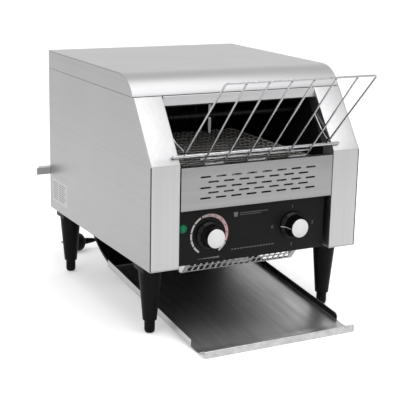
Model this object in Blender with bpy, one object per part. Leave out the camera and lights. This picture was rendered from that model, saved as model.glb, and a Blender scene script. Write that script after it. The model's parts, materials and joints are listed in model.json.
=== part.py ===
"""Countertop conveyor toaster, built as an assembly of separate solids.

Every shape is given in the cabinet's own frame, in metres: X runs across the machine, Y from
the front face to the back and Z up from the table. One empty carries that frame to the origin,
which lies on the table under the middle of the whole machine.
"""

import math

import bmesh
import bpy
from mathutils import Matrix, Vector

# Driving dimensions of the cabinet
WIDTH = 0.368
DEPTH = 0.425
HEIGHT = 0.398
UNDERSIDE = 0.1138
KNEE_Z = 0.2742
BROW_Y, BROW_Z = 0.065, 0.3669
CROWN_Y = 0.1149
PILLAR = 0.0485
SHEET = 0.0012
GAP = 0.0003

# Vent panel, control panel and the feed mouth
VENT_LOW, VENT_HIGH = 0.2018, 0.2683
PANEL_RECESS = 0.011
HEADER_LOW = 0.351
SLOT_PITCH, SLOT_LENGTH, SLOT_HEIGHT = 0.0266, 0.018, 0.0026
SLOT_ROWS = (0.2197, 0.2277, 0.2356, 0.2441, 0.2523)

# Conveyor
AXLE_Z = 0.239
IDLER_Y, DRIVE_Y = 0.042, 0.290
BELT_RADIUS = 0.022
BELT_HALF = 0.118
BELT_THICK = 0.002
AXLE_R = 0.005
MOTOR_Y, MOTOR_Z = 0.235, 0.160
CHAIN_X = 0.172
CHAMBER_HALF = 0.137
HEATER_R = 0.0045
UPPER_HEATERS = {"front": (0.110, 0.325), "rear": (0.215, 0.325)}
LOWER_HEATERS = {"front": (0.105, AXLE_Z), "rear": (0.225, AXLE_Z)}

# Toast chute and tray
CHUTE_R, CHUTE_Y, CHUTE_Z = 0.200, 0.231, 0.234
CHUTE_HALF = 0.131
TRAY_HALF = 0.133
TRAY_SLOPE = 0.1068
TRAY_REAR = 0.280

# Legs
LEG_X = 0.160
LEG_Y = {"front": 0.050, "rear": 0.3885}
LEG_JOINT_Z = 0.0208

# Controls: place of each axis on the control panel
SPEED_KNOB = (-0.080, 0.1585)
MODE_KNOB = (0.0695, 0.158)
LAMP = (-0.125, 0.1728)
KNOB_REACH = 0.025

# Feed rack
RACK_TOP_Y, RACK_TOP_Z = -0.112, 0.409
RACK_HALF = 0.126
WIRE_R, ROD_R = 0.0015, 0.0025
ROD_Y, ROD_Z = 0.0045, 0.2855
LOOP_PITCH = 0.074

# Rear spacer bar and supply cord
SPACER_HALF = 0.209
SPACER_LOW, SPACER_HIGH = 0.175, 0.1875
SPACER_REACH = 0.0158
CORD_R = 0.0035
GLAND = Vector((0.155, DEPTH, 0.140))
GLAND_REACH = 0.030
COIL = Vector((0.052, 0.512, 0.0))
COIL_MEAN_R, COIL_BUNDLE_R, COIL_HIGH = 0.0375, 0.0105, 0.014
PLUG = Vector((-0.101, 0.4975, 0.0174))
PLUG_NECK = 0.030

FRONT_END = RACK_TOP_Y - WIRE_R
REAR_END = DEPTH + SPACER_REACH
MIDDLE_Y = (FRONT_END + REAR_END) / 2


# ---------------------------------------------------------------- scene and materials


def clear_scene():
    for old in list(bpy.data.objects):
        bpy.data.objects.remove(old, do_unlink=True)


def empty(name, place, parent=None):
    """An axis or frame that other objects hang from."""
    axis = bpy.data.objects.new(name, None)
    axis.location = place
    axis.parent = parent
    axis.empty_display_size = 0.03
    bpy.context.scene.collection.objects.link(axis)
    return axis


def linear(level):
    """One sRGB channel, 0 to 255, as a linear value."""
    share = level / 255
    return share / 12.92 if share <= 0.04045 else ((share + 0.055) / 1.055) ** 2.4


def finish(name, colour, roughness, metallic=0.0):
    """A Principled material from an sRGB colour written as 0xRRGGBB."""
    made = bpy.data.materials.new(name)
    made.use_nodes = True
    shader = made.node_tree.nodes["Principled BSDF"]
    levels = [linear(colour >> shift & 0xFF) for shift in (16, 8, 0)]
    shader.inputs["Base Color"].default_value = (*levels, 1.0)
    shader.inputs["Roughness"].default_value = roughness
    shader.inputs["Metallic"].default_value = metallic
    return made


def solid(name, mesh, material, parent, smooth=False):
    """Links a bmesh into the scene as one named object."""
    mesh.normal_update()
    bmesh.ops.recalc_face_normals(mesh, faces=mesh.faces)
    data = bpy.data.meshes.new(name)
    mesh.to_mesh(data)
    mesh.free()
    if smooth:
        data.shade_smooth()
        data.set_sharp_from_angle(angle=math.radians(35))
    made = bpy.data.objects.new(name, data)
    if material:
        data.materials.append(material)
    made.parent = parent
    bpy.context.scene.collection.objects.link(made)
    return made


def cutter(name, mesh, parent):
    """A helper solid for a Boolean, which is never part of the model."""
    helper = solid(name, mesh, None, parent)
    helper.hide_render = True
    helper.display_type = "WIRE"
    return helper


def combine(target, other, operation):
    modifier = target.modifiers.new(f"{operation.lower()} {other.name}", "BOOLEAN")
    modifier.operation = operation
    modifier.solver = "EXACT"
    modifier.object = other


def cut(target, mesh):
    count = len(target.modifiers)
    combine(target, cutter(f"{target.name}.cut{count}", mesh, target.parent), "DIFFERENCE")


def join(target, mesh):
    count = len(target.modifiers)
    combine(target, cutter(f"{target.name}.join{count}", mesh, target.parent), "UNION")


# ---------------------------------------------------------------- outlines


def arc(centre, radius, start, end, steps):
    """Points of an arc, angles in degrees, both ends included."""
    turns = [math.radians(start + (end - start) * i / steps) for i in range(steps + 1)]
    return [(centre[0] + radius * math.cos(a), centre[1] + radius * math.sin(a)) for a in turns]


def circle(centre, radius, steps=16):
    return arc(centre, radius, 0, 360, steps)[:-1]


def rectangle(low, high):
    return [(low[0], low[1]), (high[0], low[1]), (high[0], high[1]), (low[0], high[1])]


def slot(centre, length, height, steps=3):
    """A slot with round ends."""
    reach = (length - height) / 2
    right = arc((centre[0] + reach, centre[1]), height / 2, -90, 90, steps)
    left = arc((centre[0] - reach, centre[1]), height / 2, 90, 270, steps)
    return right + left


def offset(path, distance):
    """An open path moved sideways by a distance, to its left, with mitred corners."""
    moved = []
    for i, point in enumerate(path):
        here = Vector(point)
        sides = []
        for a, b in ((i - 1, i), (i, i + 1)):
            if a >= 0 and b < len(path):
                run = (Vector(path[b]) - Vector(path[a])).normalized()
                sides.append(Vector((-run.y, run.x)))
        normal = (sides[0] + sides[-1]).normalized()
        moved.append(tuple(here + normal * distance / normal.dot(sides[0])))
    return moved


def strip(path, thickness=SHEET):
    """The closed outline of a folded sheet whose one face follows an open path."""
    return list(path) + offset(path, thickness)[::-1]


def toothed(centre, tip, root, teeth, phase=0.0):
    """The outline of a sprocket: four points to a tooth."""
    points = []
    for i in range(teeth):
        for share, radius in ((0.0, root), (0.22, tip), (0.44, tip), (0.66, root)):
            angle = math.tau * (i + share) / teeth + phase
            points.append((centre[0] + radius * math.cos(angle), centre[1] + radius * math.sin(angle)))
    return points


# ---------------------------------------------------------------- solids in bmesh

# A profile is drawn in two axes and runs along the third.
ALONG_X = Matrix(((0, 0, 1), (1, 0, 0), (0, 1, 0))).to_4x4()
ALONG_Y = Matrix(((1, 0, 0), (0, 0, 1), (0, 1, 0))).to_4x4()
ALONG_Z = Matrix.Identity(4)


def prism(outlines, low, high, turn=ALONG_X):
    """One straight solid for each outline, from low to high along the third axis."""
    mesh = bmesh.new()
    for outline in outlines:
        base = mesh.faces.new([mesh.verts.new((a, b, low)) for a, b in outline])
        grown = bmesh.ops.extrude_face_region(mesh, geom=[base])
        tops = [item for item in grown["geom"] if isinstance(item, bmesh.types.BMVert)]
        bmesh.ops.translate(mesh, verts=tops, vec=(0, 0, high - low))
    mesh.transform(turn)
    return mesh


def ring(outer, inner, low, high, turn=ALONG_X):
    """A straight solid between two outlines with the same number of points."""
    mesh = bmesh.new()
    loops = [
        [mesh.verts.new((a, b, level)) for a, b in outline]
        for outline in (outer, inner)
        for level in (low, high)
    ]
    pairs = ((loops[0], loops[1]), (loops[1], loops[3]), (loops[3], loops[2]), (loops[2], loops[0]))
    for one, two in pairs:
        for i in range(len(one)):
            j = (i + 1) % len(one)
            mesh.faces.new((one[i], one[j], two[j], two[i]))
    mesh.transform(turn)
    return mesh


def box(low, high):
    return prism([rectangle(low[:2], high[:2])], low[2], high[2], ALONG_Z)


def turned(profile, steps, turn=ALONG_Z, place=(0, 0, 0), closed=False):
    """A lathe-turned solid: a profile of (radius, height) points spun about the third axis."""
    mesh = bmesh.new()
    verts = [mesh.verts.new((radius, 0, height)) for radius, height in profile]
    edges = [mesh.edges.new(pair) for pair in zip(verts, verts[1:])]
    if closed:
        edges.append(mesh.edges.new((verts[-1], verts[0])))
    bmesh.ops.spin(
        mesh, geom=verts + edges, cent=(0, 0, 0), axis=(0, 0, 1), angle=math.tau, steps=steps
    )
    bmesh.ops.remove_doubles(mesh, verts=mesh.verts, dist=1e-6)
    mesh.transform(Matrix.Translation(place) @ turn)
    return mesh


def filleted(points, radius, steps=4):
    """A 3-D path whose inner corners are rounded."""
    path = [Vector(points[0])]
    for before, corner, after in zip(points, points[1:], points[2:]):
        corner = Vector(corner)
        back, on = Vector(before) - corner, Vector(after) - corner
        half = back.angle(on) / 2
        reach = min(radius / math.tan(half), back.length * 0.45, on.length * 0.45)
        start, end = corner + back.normalized() * reach, corner + on.normalized() * reach
        for i in range(steps + 1):
            t = i / steps
            path.append(start.lerp(corner, t).lerp(corner.lerp(end, t), t))
    path.append(Vector(points[-1]))
    return path


def wire(name, path, radius, material, parent, sides=2):
    """A round wire or cord: a poly curve with a bevel and filled ends."""
    data = bpy.data.curves.new(name, "CURVE")
    data.dimensions = "3D"
    data.bevel_depth = radius
    data.bevel_resolution = sides
    data.use_fill_caps = True
    spline = data.splines.new("POLY")
    spline.points.add(len(path) - 1)
    for point, place in zip(spline.points, path):
        point.co = (*place, 1.0)
    data.materials.append(material)
    made = bpy.data.objects.new(name, data)
    made.parent = parent
    bpy.context.scene.collection.objects.link(made)
    return made


def smooth_path(points, spacing):
    """A Catmull-Rom curve through a list of points, read off at an even spacing."""
    ends = [points[0] * 2 - points[1], *points, points[-1] * 2 - points[-2]]
    dense = []
    for a, b, c, d in zip(ends, ends[1:], ends[2:], ends[3:]):
        for i in range(24):
            t = i / 24
            dense.append(
                (b * 2 + (c - a) * t + (a * 2 - b * 5 + c * 4 - d) * t * t
                 + (b * 3 - a - c * 3 + d) * t ** 3) / 2
            )
    dense.append(points[-1])
    total = sum((q - p).length for p, q in zip(dense, dense[1:]))
    count = round(total / spacing)
    path, walked, target = [dense[0]], 0.0, total / count
    for p, q in zip(dense, dense[1:]):
        step = (q - p).length
        while walked + step >= target and len(path) < count:
            path.append(p.lerp(q, (target - walked) / step))
            target += total / count
        walked += step
    path.append(dense[-1])
    return path


# ---------------------------------------------------------------- cabinet


def slant_y(height):
    """Y of the pillar's front face at a height between the underside and the brow."""
    return max(0.0, (height - KNEE_Z) * BROW_Y / (BROW_Z - KNEE_Z))


def crown_arc(inset=0.0, steps=8):
    """The cover's curved front, from the brow up to the crown, moved inwards by an inset."""
    run, rise = CROWN_Y - BROW_Y, HEIGHT - BROW_Z
    radius = (run * run + rise * rise) / (2 * rise)
    end = 180 - math.degrees(math.acos(run / radius))
    return arc((CROWN_Y, HEIGHT - radius), radius - inset, end, 90, steps)


def side_panel(name, side, steel, root):
    """Flat outer skin, from the underside to the cover's seam, with the slanted front corner."""
    top = BROW_Z - GAP
    outline = [(0, UNDERSIDE), (DEPTH, UNDERSIDE), (DEPTH, top), (slant_y(top), top), (0, KNEE_Z)]
    inner, outer = sorted((side * (WIDTH / 2 - 0.001), side * WIDTH / 2))
    return solid(name, prism([outline], inner, outer), steel, root)


def top_cover(steel, root):
    """Roof with a curved brow and two side skirts, open below and behind."""
    half = WIDTH / 2
    outer = [(DEPTH, HEIGHT), (DEPTH, BROW_Z), (BROW_Y, BROW_Z)] + crown_arc()[1:]
    cover = solid("top_cover", prism([outer], -half, half), steel, root)
    inner_arc = crown_arc(SHEET)
    rear, low = DEPTH + 0.01, BROW_Z - 0.01
    inner = [(rear, HEIGHT - SHEET), (rear, low), (inner_arc[0][0], low)] + inner_arc
    cut(cover, prism([inner], SHEET - half, half - SHEET))


def front_pillar(name, side, steel, root):
    """Corner post: a folded channel with an upright face, a slanted face and an inner return."""
    low, top, back = UNDERSIDE + SHEET + GAP, BROW_Z - GAP, 0.030
    face = [(0, low), (0, KNEE_Z), (slant_y(top), top)]
    outline = face + [(slant_y(top) + back, top), (back, KNEE_Z), (back, low)]
    inner_edge, outer_edge = WIDTH / 2 - PILLAR, WIDTH / 2 - 0.001 - GAP
    span = sorted((side * inner_edge, side * outer_edge))
    pillar = solid(name, prism([outline], *span), steel, root)
    inside = offset(face, -SHEET)
    inside[0] = (inside[0][0], low - 0.01)
    inside[-1] = (slant_y(top + 0.01) + SHEET * 1.3, top + 0.01)
    hollow = inside + [(back + 0.08, top + 0.01), (back + 0.08, low - 0.01)]
    span = sorted((side * (inner_edge + SHEET), side * (outer_edge + 0.01)))
    cut(pillar, prism([hollow], *span))


def header_strip(steel, root):
    """Sill under the cover's front edge, folded back at the top."""
    face_y = BROW_Y - 0.0022
    path = [(face_y, HEADER_LOW), (face_y, BROW_Z - GAP), (0.095, BROW_Z - GAP)]
    reach = WIDTH / 2 - PILLAR - GAP
    solid("header_strip", prism([strip(path, -SHEET)], -reach, reach), steel, root)


def vent_panel(steel, root):
    """Upper front plate with five staggered rows of slots, folded back at top and bottom."""
    path = [(0.012, VENT_LOW), (0, VENT_LOW), (0, VENT_HIGH), (0.012, VENT_HIGH)]
    reach = WIDTH / 2 - PILLAR - 0.0015
    panel = solid("vent_panel", prism([strip(path, -SHEET)], -reach, reach), steel, root)
    slots = []
    for row, height in enumerate(SLOT_ROWS):
        count = 8 - row % 2
        first = -SLOT_PITCH * (count - 1) / 2
        slots += [slot((first + SLOT_PITCH * i, height), SLOT_LENGTH, SLOT_HEIGHT) for i in range(count)]
    cut(panel, prism(slots, -0.005, 0.005, ALONG_Y))


def control_panel(enamel, root):
    """Recessed black plate with folded edges and a hole for each control."""
    low, high = (-0.1348, PANEL_RECESS, UNDERSIDE + 0.0002), (0.130, PANEL_RECESS + 0.015, VENT_LOW - GAP)
    panel = solid("control_panel", box(low, high), enamel, root)
    inside_low = (low[0] + SHEET, low[1] + SHEET, low[2] + SHEET)
    cut(panel, box(inside_low, (high[0] - SHEET, high[1] + 0.01, high[2] - SHEET)))
    holes = [circle(SPEED_KNOB, 0.0038, 12), circle(MODE_KNOB, 0.0038, 12), circle(LAMP, 0.0055, 12)]
    cut(panel, prism(holes, PANEL_RECESS - 0.005, PANEL_RECESS + 0.005, ALONG_Y))


def base_frame(steel, root):
    """U-shaped floor that carries the legs and is open in the middle for the chute."""
    half, inner, back = WIDTH / 2 - 0.001 - GAP, 0.1352, 0.3972
    front, rear = GAP, DEPTH - SHEET - GAP
    outline = [(-half, front), (-inner, front), (-inner, back), (inner, back), (inner, front),
               (half, front), (half, rear), (-half, rear)]
    solid("base_frame", prism([outline], UNDERSIDE, UNDERSIDE + SHEET, ALONG_Z), steel, root)


def rear_panel(steel, root):
    """Back plate with a vent for each side bay and the hole for the cord's gland."""
    half, top = WIDTH / 2 - SHEET - GAP, HEIGHT - SHEET - GAP
    plate = solid(
        "rear_panel",
        prism([rectangle((-half, UNDERSIDE + GAP), (half, top))], DEPTH - SHEET, DEPTH, ALONG_Y),
        steel, root,
    )
    holes = [slot((side * 0.159, 0.230 + 0.012 * i), 0.030, 0.005) for side in (-1, 1) for i in range(6)]
    holes.append(circle((GLAND.x, GLAND.z), 0.0066, 12))
    cut(plate, prism(holes, DEPTH - 0.01, DEPTH + 0.01, ALONG_Y))


def rear_spacer(steel, root):
    """Angle bar across the back that keeps the hot cabinet off a wall."""
    front = DEPTH + GAP
    rear = DEPTH + SPACER_REACH
    corner = 0.010
    flange = [(-SPACER_HALF, front), (SPACER_HALF, front), (SPACER_HALF - corner, rear),
              (corner - SPACER_HALF, rear)]
    bar = solid("rear_spacer", prism([flange], SPACER_HIGH - SHEET, SPACER_HIGH, ALONG_Z), steel, root)
    join(bar, box((-SPACER_HALF, front, SPACER_LOW), (SPACER_HALF, front + SHEET, SPACER_HIGH)))


# ---------------------------------------------------------------- toasting chamber


def chamber_wall(name, side, steel, root):
    """Inner side wall with holes for the two axles and the four heater ends."""
    low, top, front, rear = UNDERSIDE + SHEET + GAP, BROW_Z - 0.0016, 0.0016, DEPTH - SHEET - GAP
    outline = [(front, low), (rear, low), (rear, top), (slant_y(top) + 0.002, top), (front, KNEE_Z)]
    span = sorted((side * CHAMBER_HALF, side * (CHAMBER_HALF + 0.001)))
    wall = solid(name, prism([outline], *span), steel, root)
    ends = [*UPPER_HEATERS.values(), *LOWER_HEATERS.values()]
    holes = [circle((y, AXLE_Z), AXLE_R + 0.0005, 12) for y in (IDLER_Y, DRIVE_Y)]
    holes += [circle(place, HEATER_R + 0.0006, 12) for place in ends]
    cut(wall, prism(holes, span[0] - 0.005, span[1] + 0.005))


def upper_reflector(steel, root):
    """Bright ceiling over the upper heaters, folded down behind the belt's end."""
    path = [(0.0705, 0.3485), (0.330, 0.3485), (0.412, 0.2665), (0.412, 0.200)]
    half = WIDTH / 2 - PILLAR - GAP
    solid("upper_reflector", prism([strip(path, SHEET)], -half, half), steel, root)


def control_bay_shell(steel, root):
    """Folded sheet that roofs, backs and floors the control bay, with the fan's round intake."""
    path = [(0.0126, 0.2048), (0.268, 0.2048), (0.262, 0.190), (0.200, 0.1156), (0.0365, 0.1156)]
    half = WIDTH / 2 - PILLAR - GAP
    shell = solid("control_bay_shell", prism([strip(path, -SHEET)], -half, half), steel, root)
    cut(shell, prism([circle(FAN, 0.036, 20)], 0.110, 0.125, ALONG_Z))


def lower_guard(steel, root):
    """Perforated slanting lip under the control panel, closed by a gusset at each end."""
    half = 0.102
    path = [(0.0275, 0.1152), (0.033, 0.1152), (0.0592, 0.0856), (0.067, 0.0856)]
    guard = solid("lower_guard", prism([strip(path, SHEET)], -half, half), steel, root)
    gusset = [(0.0335, 0.1150), (0.0595, 0.0858), (0.0668, 0.0858), (0.0668, 0.1150)]
    for side in (-1, 1):
        join(guard, prism([gusset], *sorted((side * half, side * (half - SHEET)))))
    pitch, width, count = 0.0105, 0.0075, 18
    first = -pitch * (count - 1) / 2
    holes = []
    for low, high in ((0.0880, 0.0961), (0.0985, 0.1080)):
        for i in range(count):
            centre = first + pitch * i
            holes.append(rectangle((centre - width / 2, low), (centre + width / 2, high)))
    cut(guard, prism(holes, 0.030, 0.064, ALONG_Y))


def heater(name, place, quartz, root):
    """Quartz tube that ends in a ceramic cap outside each chamber wall."""
    tip, cap = 0.150, CHAMBER_HALF + 0.001 + GAP
    half = [(0.0062, tip), (0.0062, cap), (HEATER_R, cap)]
    profile = [(0, tip)] + half + [(r, -z) for r, z in half[::-1]] + [(0, -tip)]
    return solid(name, turned(profile, 12, ALONG_X, (0, *place)), quartz, root, smooth=True)


def heater_hanger(steel, root):
    """Narrow strap from the ceiling that holds up the middle of the rear upper heater."""
    path = [(0.165, 0.3482), (0.165, 0.2835), (0.215, 0.2835), (0.215, 0.3195)]
    solid("heater_hanger", prism([strip(path, 0.0015)], -0.0025, 0.0025), steel, root)


# ---------------------------------------------------------------- conveyor and its drive


def belt_path(rods_per_run, rods_per_end):
    """Y and Z of the belt's loop, two points to a cross rod: its start and its end."""
    rod = 0.0028
    points = []
    run = DRIVE_Y - IDLER_Y
    pitch = run / rods_per_run
    for i in range(rods_per_run):
        for shift in (0, rod):
            points.append((IDLER_Y + i * pitch + shift, AXLE_Z + BELT_RADIUS))
    turn = math.pi / rods_per_end
    for i in range(rods_per_end):
        for shift in (0, rod / BELT_RADIUS):
            angle = i * turn + shift
            points.append((DRIVE_Y + BELT_RADIUS * math.sin(angle), AXLE_Z + BELT_RADIUS * math.cos(angle)))
    middle = (IDLER_Y + DRIVE_Y, 2 * AXLE_Z)
    return points + [(middle[0] - y, middle[1] - z) for y, z in points]


def conveyor_belt(steel, root):
    """Endless wire belt, as a ladder of cross rods between side and middle chains."""
    path = belt_path(15, 4)
    lanes = [-BELT_HALF, -BELT_HALF + 0.005, -0.0025, 0.0025, BELT_HALF - 0.005, BELT_HALF]
    mesh = bmesh.new()
    rows = [[mesh.verts.new((x, y, z)) for x in lanes] for y, z in path]
    for i, row in enumerate(rows):
        following = rows[(i + 1) % len(rows)]
        for lane in range(len(lanes) - 1):
            if i % 2 == 0 or lane in (0, 2, 4):
                mesh.faces.new((row[lane], row[lane + 1], following[lane + 1], following[lane]))
    belt = solid("conveyor_belt", mesh, steel, root)
    thicken = belt.modifiers.new("wire thickness", "SOLIDIFY")
    thicken.thickness = BELT_THICK
    thicken.offset = 0
    thicken.use_even_offset = True


def axle(name, y, reach, steel, axis):
    """Plain round shaft across the chamber, turning in both side walls."""
    profile = [(0, -reach[0]), (AXLE_R, -reach[0]), (AXLE_R, reach[1]), (0, reach[1])]
    return solid(name, turned(profile, 12, ALONG_X), steel, axis, smooth=True)


def sprocket(name, x, width, tip, root_r, teeth, bore, steel, axis):
    outline = toothed((0, 0), tip, root_r, teeth)
    inner = [(bore * math.cos(math.tau * i / len(outline)), bore * math.sin(math.tau * i / len(outline)))
             for i in range(len(outline))]
    return solid(name, ring(outline, inner, x - width / 2, x + width / 2), steel, axis)


def conveyor_drive(steel, dark, root):
    """Both axles, the belt's sprockets, and the chain drive in the right side bay."""
    drive = empty("drive_axis", (0, DRIVE_Y, AXLE_Z), root)
    idler = empty("idler_axis", (0, IDLER_Y, AXLE_Z), root)
    motor = empty("motor_axis", (0, MOTOR_Y, MOTOR_Z), root)
    axle("drive_shaft", DRIVE_Y, (0.142, 0.178), steel, drive)
    for name, x in (("drive_sprocket_left", -0.085), ("drive_sprocket_right", 0.085)):
        sprocket(name, x, 0.006, 0.0193, 0.0162, 12, AXLE_R + GAP, dark, drive)
    sprocket("driven_chain_wheel", CHAIN_X, 0.004, 0.0235, 0.0205, 20, AXLE_R + GAP, dark, drive)
    roller = [(0, -0.142), (AXLE_R, -0.142), (AXLE_R, -0.092)]
    for x in (-0.085, 0.085):
        roller += [(AXLE_R, x - 0.006), (0.0190, x - 0.006), (0.0190, x + 0.006), (AXLE_R, x + 0.006)]
    roller += [(AXLE_R, 0.142), (0, 0.142)]
    del roller[2]
    solid("idler_shaft", turned(roller, 16, ALONG_X), steel, idler, smooth=True)
    wheel = sprocket("motor_chain_wheel", CHAIN_X, 0.004, 0.0125, 0.0095, 10, 0.0015, dark, motor)
    spindle = [(0, 0.151), (0.003, 0.151), (0.003, CHAIN_X + 0.004), (0, CHAIN_X + 0.004)]
    join(wheel, turned(spindle, 10, ALONG_X))


def drive_chain(steel, root):
    """Chain loop round both wheels, drawn as one flat band that clears the teeth."""
    wheels = (((DRIVE_Y, AXLE_Z), 0.0235 + 0.0005), ((MOTOR_Y, MOTOR_Z), 0.0125 + 0.0005))
    (big, big_r), (small, small_r) = wheels
    run = Vector(small) - Vector(big)
    heading = math.degrees(math.atan2(run.y, run.x))
    lean = math.degrees(math.acos((big_r - small_r) / run.length))

    def loop(extra):
        far = arc(big, big_r + extra, heading + lean, heading + 360 - lean, 14)
        near = arc(small, small_r + extra, heading - lean, heading + lean, 8)
        return far + near

    solid("drive_chain", ring(loop(0.003), loop(0), CHAIN_X - 0.003, CHAIN_X + 0.003), steel, root)


def gear_motor(dark, root):
    """Synchronous gear motor on the right chamber wall."""
    inner = CHAMBER_HALF + 0.001 + GAP
    body = solid(
        "gear_motor",
        box((inner, MOTOR_Y - 0.045, MOTOR_Z - 0.030), (inner + 0.018, MOTOR_Y + 0.016, MOTOR_Z + 0.024)),
        dark, root,
    )
    can = turned([(0, 0.136), (0.024, 0.136), (0.024, 0.166), (0, 0.166)], 16, ALONG_X,
                 (0.0035, MOTOR_Y - 0.050, MOTOR_Z - 0.004))
    join(body, can)
    cut(body, turned([(0, 0.148), (0.0034, 0.148), (0.0034, 0.2), (0, 0.2)], 12, ALONG_X,
                     (0, MOTOR_Y, MOTOR_Z)))


# ---------------------------------------------------------------- cooling fan and control parts

FAN = (0.0, 0.110)
FAN_HALF, FAN_LOW, FAN_HIGH = 0.040, 0.1172, 0.1422
FAN_BORE = 0.0378


def fan_housing(plastic, root):
    """Square fan frame with a round duct and a hub on four struts."""
    (x, y), strut = FAN, 0.003
    housing = solid(
        "fan_housing",
        box((x - FAN_HALF, y - FAN_HALF, FAN_LOW), (x + FAN_HALF, y + FAN_HALF, FAN_HIGH)),
        plastic, root,
    )
    cut(housing, prism([circle(FAN, FAN_BORE, 24)], FAN_LOW + strut, FAN_HIGH + 0.01, ALONG_Z))
    gaps = []
    for quarter in range(4):
        start = 90 * quarter
        outer = arc(FAN, FAN_BORE - 0.0006, start + 5, start + 85, 6)
        inner = arc(FAN, 0.015, start + 76, start + 14, 3)
        gaps.append(outer + inner)
    cut(housing, prism(gaps, FAN_LOW - 0.01, FAN_LOW + strut + 0.001, ALONG_Z))


def fan_rotor(plastic, root):
    """Hub with seven twisted blades."""
    axis = empty("fan_axis", (*FAN, 0), root)
    low, high, hub_r, tip_r, blades, sides = FAN_LOW + 0.0045, FAN_HIGH - 0.002, 0.0145, 0.0355, 7, 3
    mesh = bmesh.new()
    count = blades * sides
    rings = [
        [mesh.verts.new((hub_r * math.cos(math.tau * i / count), hub_r * math.sin(math.tau * i / count), z))
         for i in range(count)]
        for z in (low, high)
    ]
    mesh.faces.new(rings[0])
    mesh.faces.new(rings[1])
    for i in range(count):
        j = (i + 1) % count
        face = mesh.faces.new((rings[0][i], rings[0][j], rings[1][j], rings[1][i]))
        if i % sides:
            continue
        grown = bmesh.ops.extrude_discrete_faces(mesh, faces=[face])["faces"][0]
        for vert in grown.verts:
            twist = 0.26 if vert.co.z > (low + high) / 2 else -0.05
            angle = math.atan2(vert.co.y, vert.co.x) + twist
            vert.co = (tip_r * math.cos(angle), tip_r * math.sin(angle), vert.co.z)
    solid("fan_rotor", mesh, plastic, axis)


def control_parts(plastic, dark, green, root):
    """Speed regulator and rotary switch behind the panel, and the signal lamp in it."""
    back = PANEL_RECESS + SHEET + GAP
    bush = [(0.0036, back), (0.014, back), (0.014, back + 0.016), (0.0036, back + 0.016)]
    solid("speed_regulator", turned(bush, 16, ALONG_Y, (SPEED_KNOB[0], 0, SPEED_KNOB[1]), closed=True),
          dark, root, smooth=True)
    x, z = MODE_KNOB
    switch = solid("mode_switch", box((x - 0.016, back, z - 0.016), (x + 0.016, back + 0.030, z + 0.016)),
                   plastic, root)
    cut(switch, prism([circle(MODE_KNOB, 0.0036, 12)], back - 0.01, back + 0.016, ALONG_Y))
    front = PANEL_RECESS - GAP
    lamp = [(0, front - 0.0045), (0.0035, front - 0.0040), (0.0058, front - 0.0022), (0.0066, front),
            (0.0050, front), (0.0050, back + 0.012), (0, back + 0.012)]
    solid("signal_lamp", turned(lamp, 16, ALONG_Y, (LAMP[0], 0, LAMP[1])), green, root, smooth=True)


def knob(name, place, plastic, metal, root):
    """Skirted black knob with its spindle, and the spun metal cap on its face."""
    axis = empty(f"{name}_axis", (place[0], 0, place[1]), root)
    seat, face = PANEL_RECESS - 0.0010, PANEL_RECESS - KNOB_REACH + 0.0015
    spindle = PANEL_RECESS + SHEET + 0.012
    profile = [(0, face), (0.0150, face), (0.0160, face + 0.0015), (0.0172, seat - 0.0085),
               (0.0205, seat - 0.0065), (0.0222, seat - 0.0035), (0.0224, seat),
               (0.0032, seat), (0.0032, spindle), (0, spindle)]
    solid(name, turned(profile, 20, ALONG_Y), plastic, axis, smooth=True)
    top = face - GAP
    cap = [(0, top - 0.0012), (0.0142, top - 0.0012), (0.0150, top - 0.0006), (0.0150, top), (0, top)]
    solid(f"{name}_cap", turned(cap, 20, ALONG_Y), metal, axis, smooth=True)


# ---------------------------------------------------------------- chute, tray, legs and rack


def toast_chute(dark, root):
    """Curved slide that turns the toast round under the cabinet and forward onto the tray."""
    slide = [(y, z) for y, z in arc((CHUTE_Y, CHUTE_Z), CHUTE_R, -78, -17, 12)]
    solid("toast_chute", prism([strip(slide, -0.001)], -CHUTE_HALF, CHUTE_HALF), dark, root)


def tray_top(y):
    """Height of the tray's floor at a distance from the front face."""
    return 0.0077 + TRAY_SLOPE * y


def toast_tray(steel, root):
    """Sloping receiving tray with a flange on each side and a turned-down front lip."""
    lip_y, lip_z = -0.083, 0.0106
    floor = [(TRAY_REAR, tray_top(TRAY_REAR)), (-0.034, tray_top(-0.034)), (-0.050, 0.0022),
             (-0.062, 0.0018), (lip_y + 0.004, lip_z), (lip_y, lip_z), (lip_y, 0.0002)]
    tray = solid("toast_tray", prism([strip(floor, 0.0012)], -TRAY_HALF, TRAY_HALF), steel, root)
    high = 0.0105
    flange = [(TRAY_REAR, tray_top(TRAY_REAR) - 0.0006), (TRAY_REAR, tray_top(TRAY_REAR) + high),
              (-0.033, tray_top(-0.033) + high), (-0.037, tray_top(-0.037) + high - 0.003),
              (-0.037, tray_top(-0.037) - 0.0006)]
    for side in (-1, 1):
        join(tray, prism([flange], *sorted((side * TRAY_HALF, side * (TRAY_HALF - 0.001)))))


def leg(name, x, y, plastic, root):
    """Tapered moulded leg with a square flange at its top, bored for the foot's stud."""
    top, flange, half = UNDERSIDE - GAP, 0.0105, 0.0195
    bore, depth = 0.0044, 0.034
    profile = [(bore, LEG_JOINT_Z), (0.0112, LEG_JOINT_Z), (0.0192, top - 0.001), (0, top - 0.001),
               (0, LEG_JOINT_Z + depth), (bore, LEG_JOINT_Z + depth)]
    made = solid(name, turned(profile + profile[:1], 16, place=(x, y, 0)), plastic, root, smooth=True)
    plate = rectangle((x - half, y - half), (x + half, y + half))
    join(made, prism([plate], top - flange, top, ALONG_Z))
    return made


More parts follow.
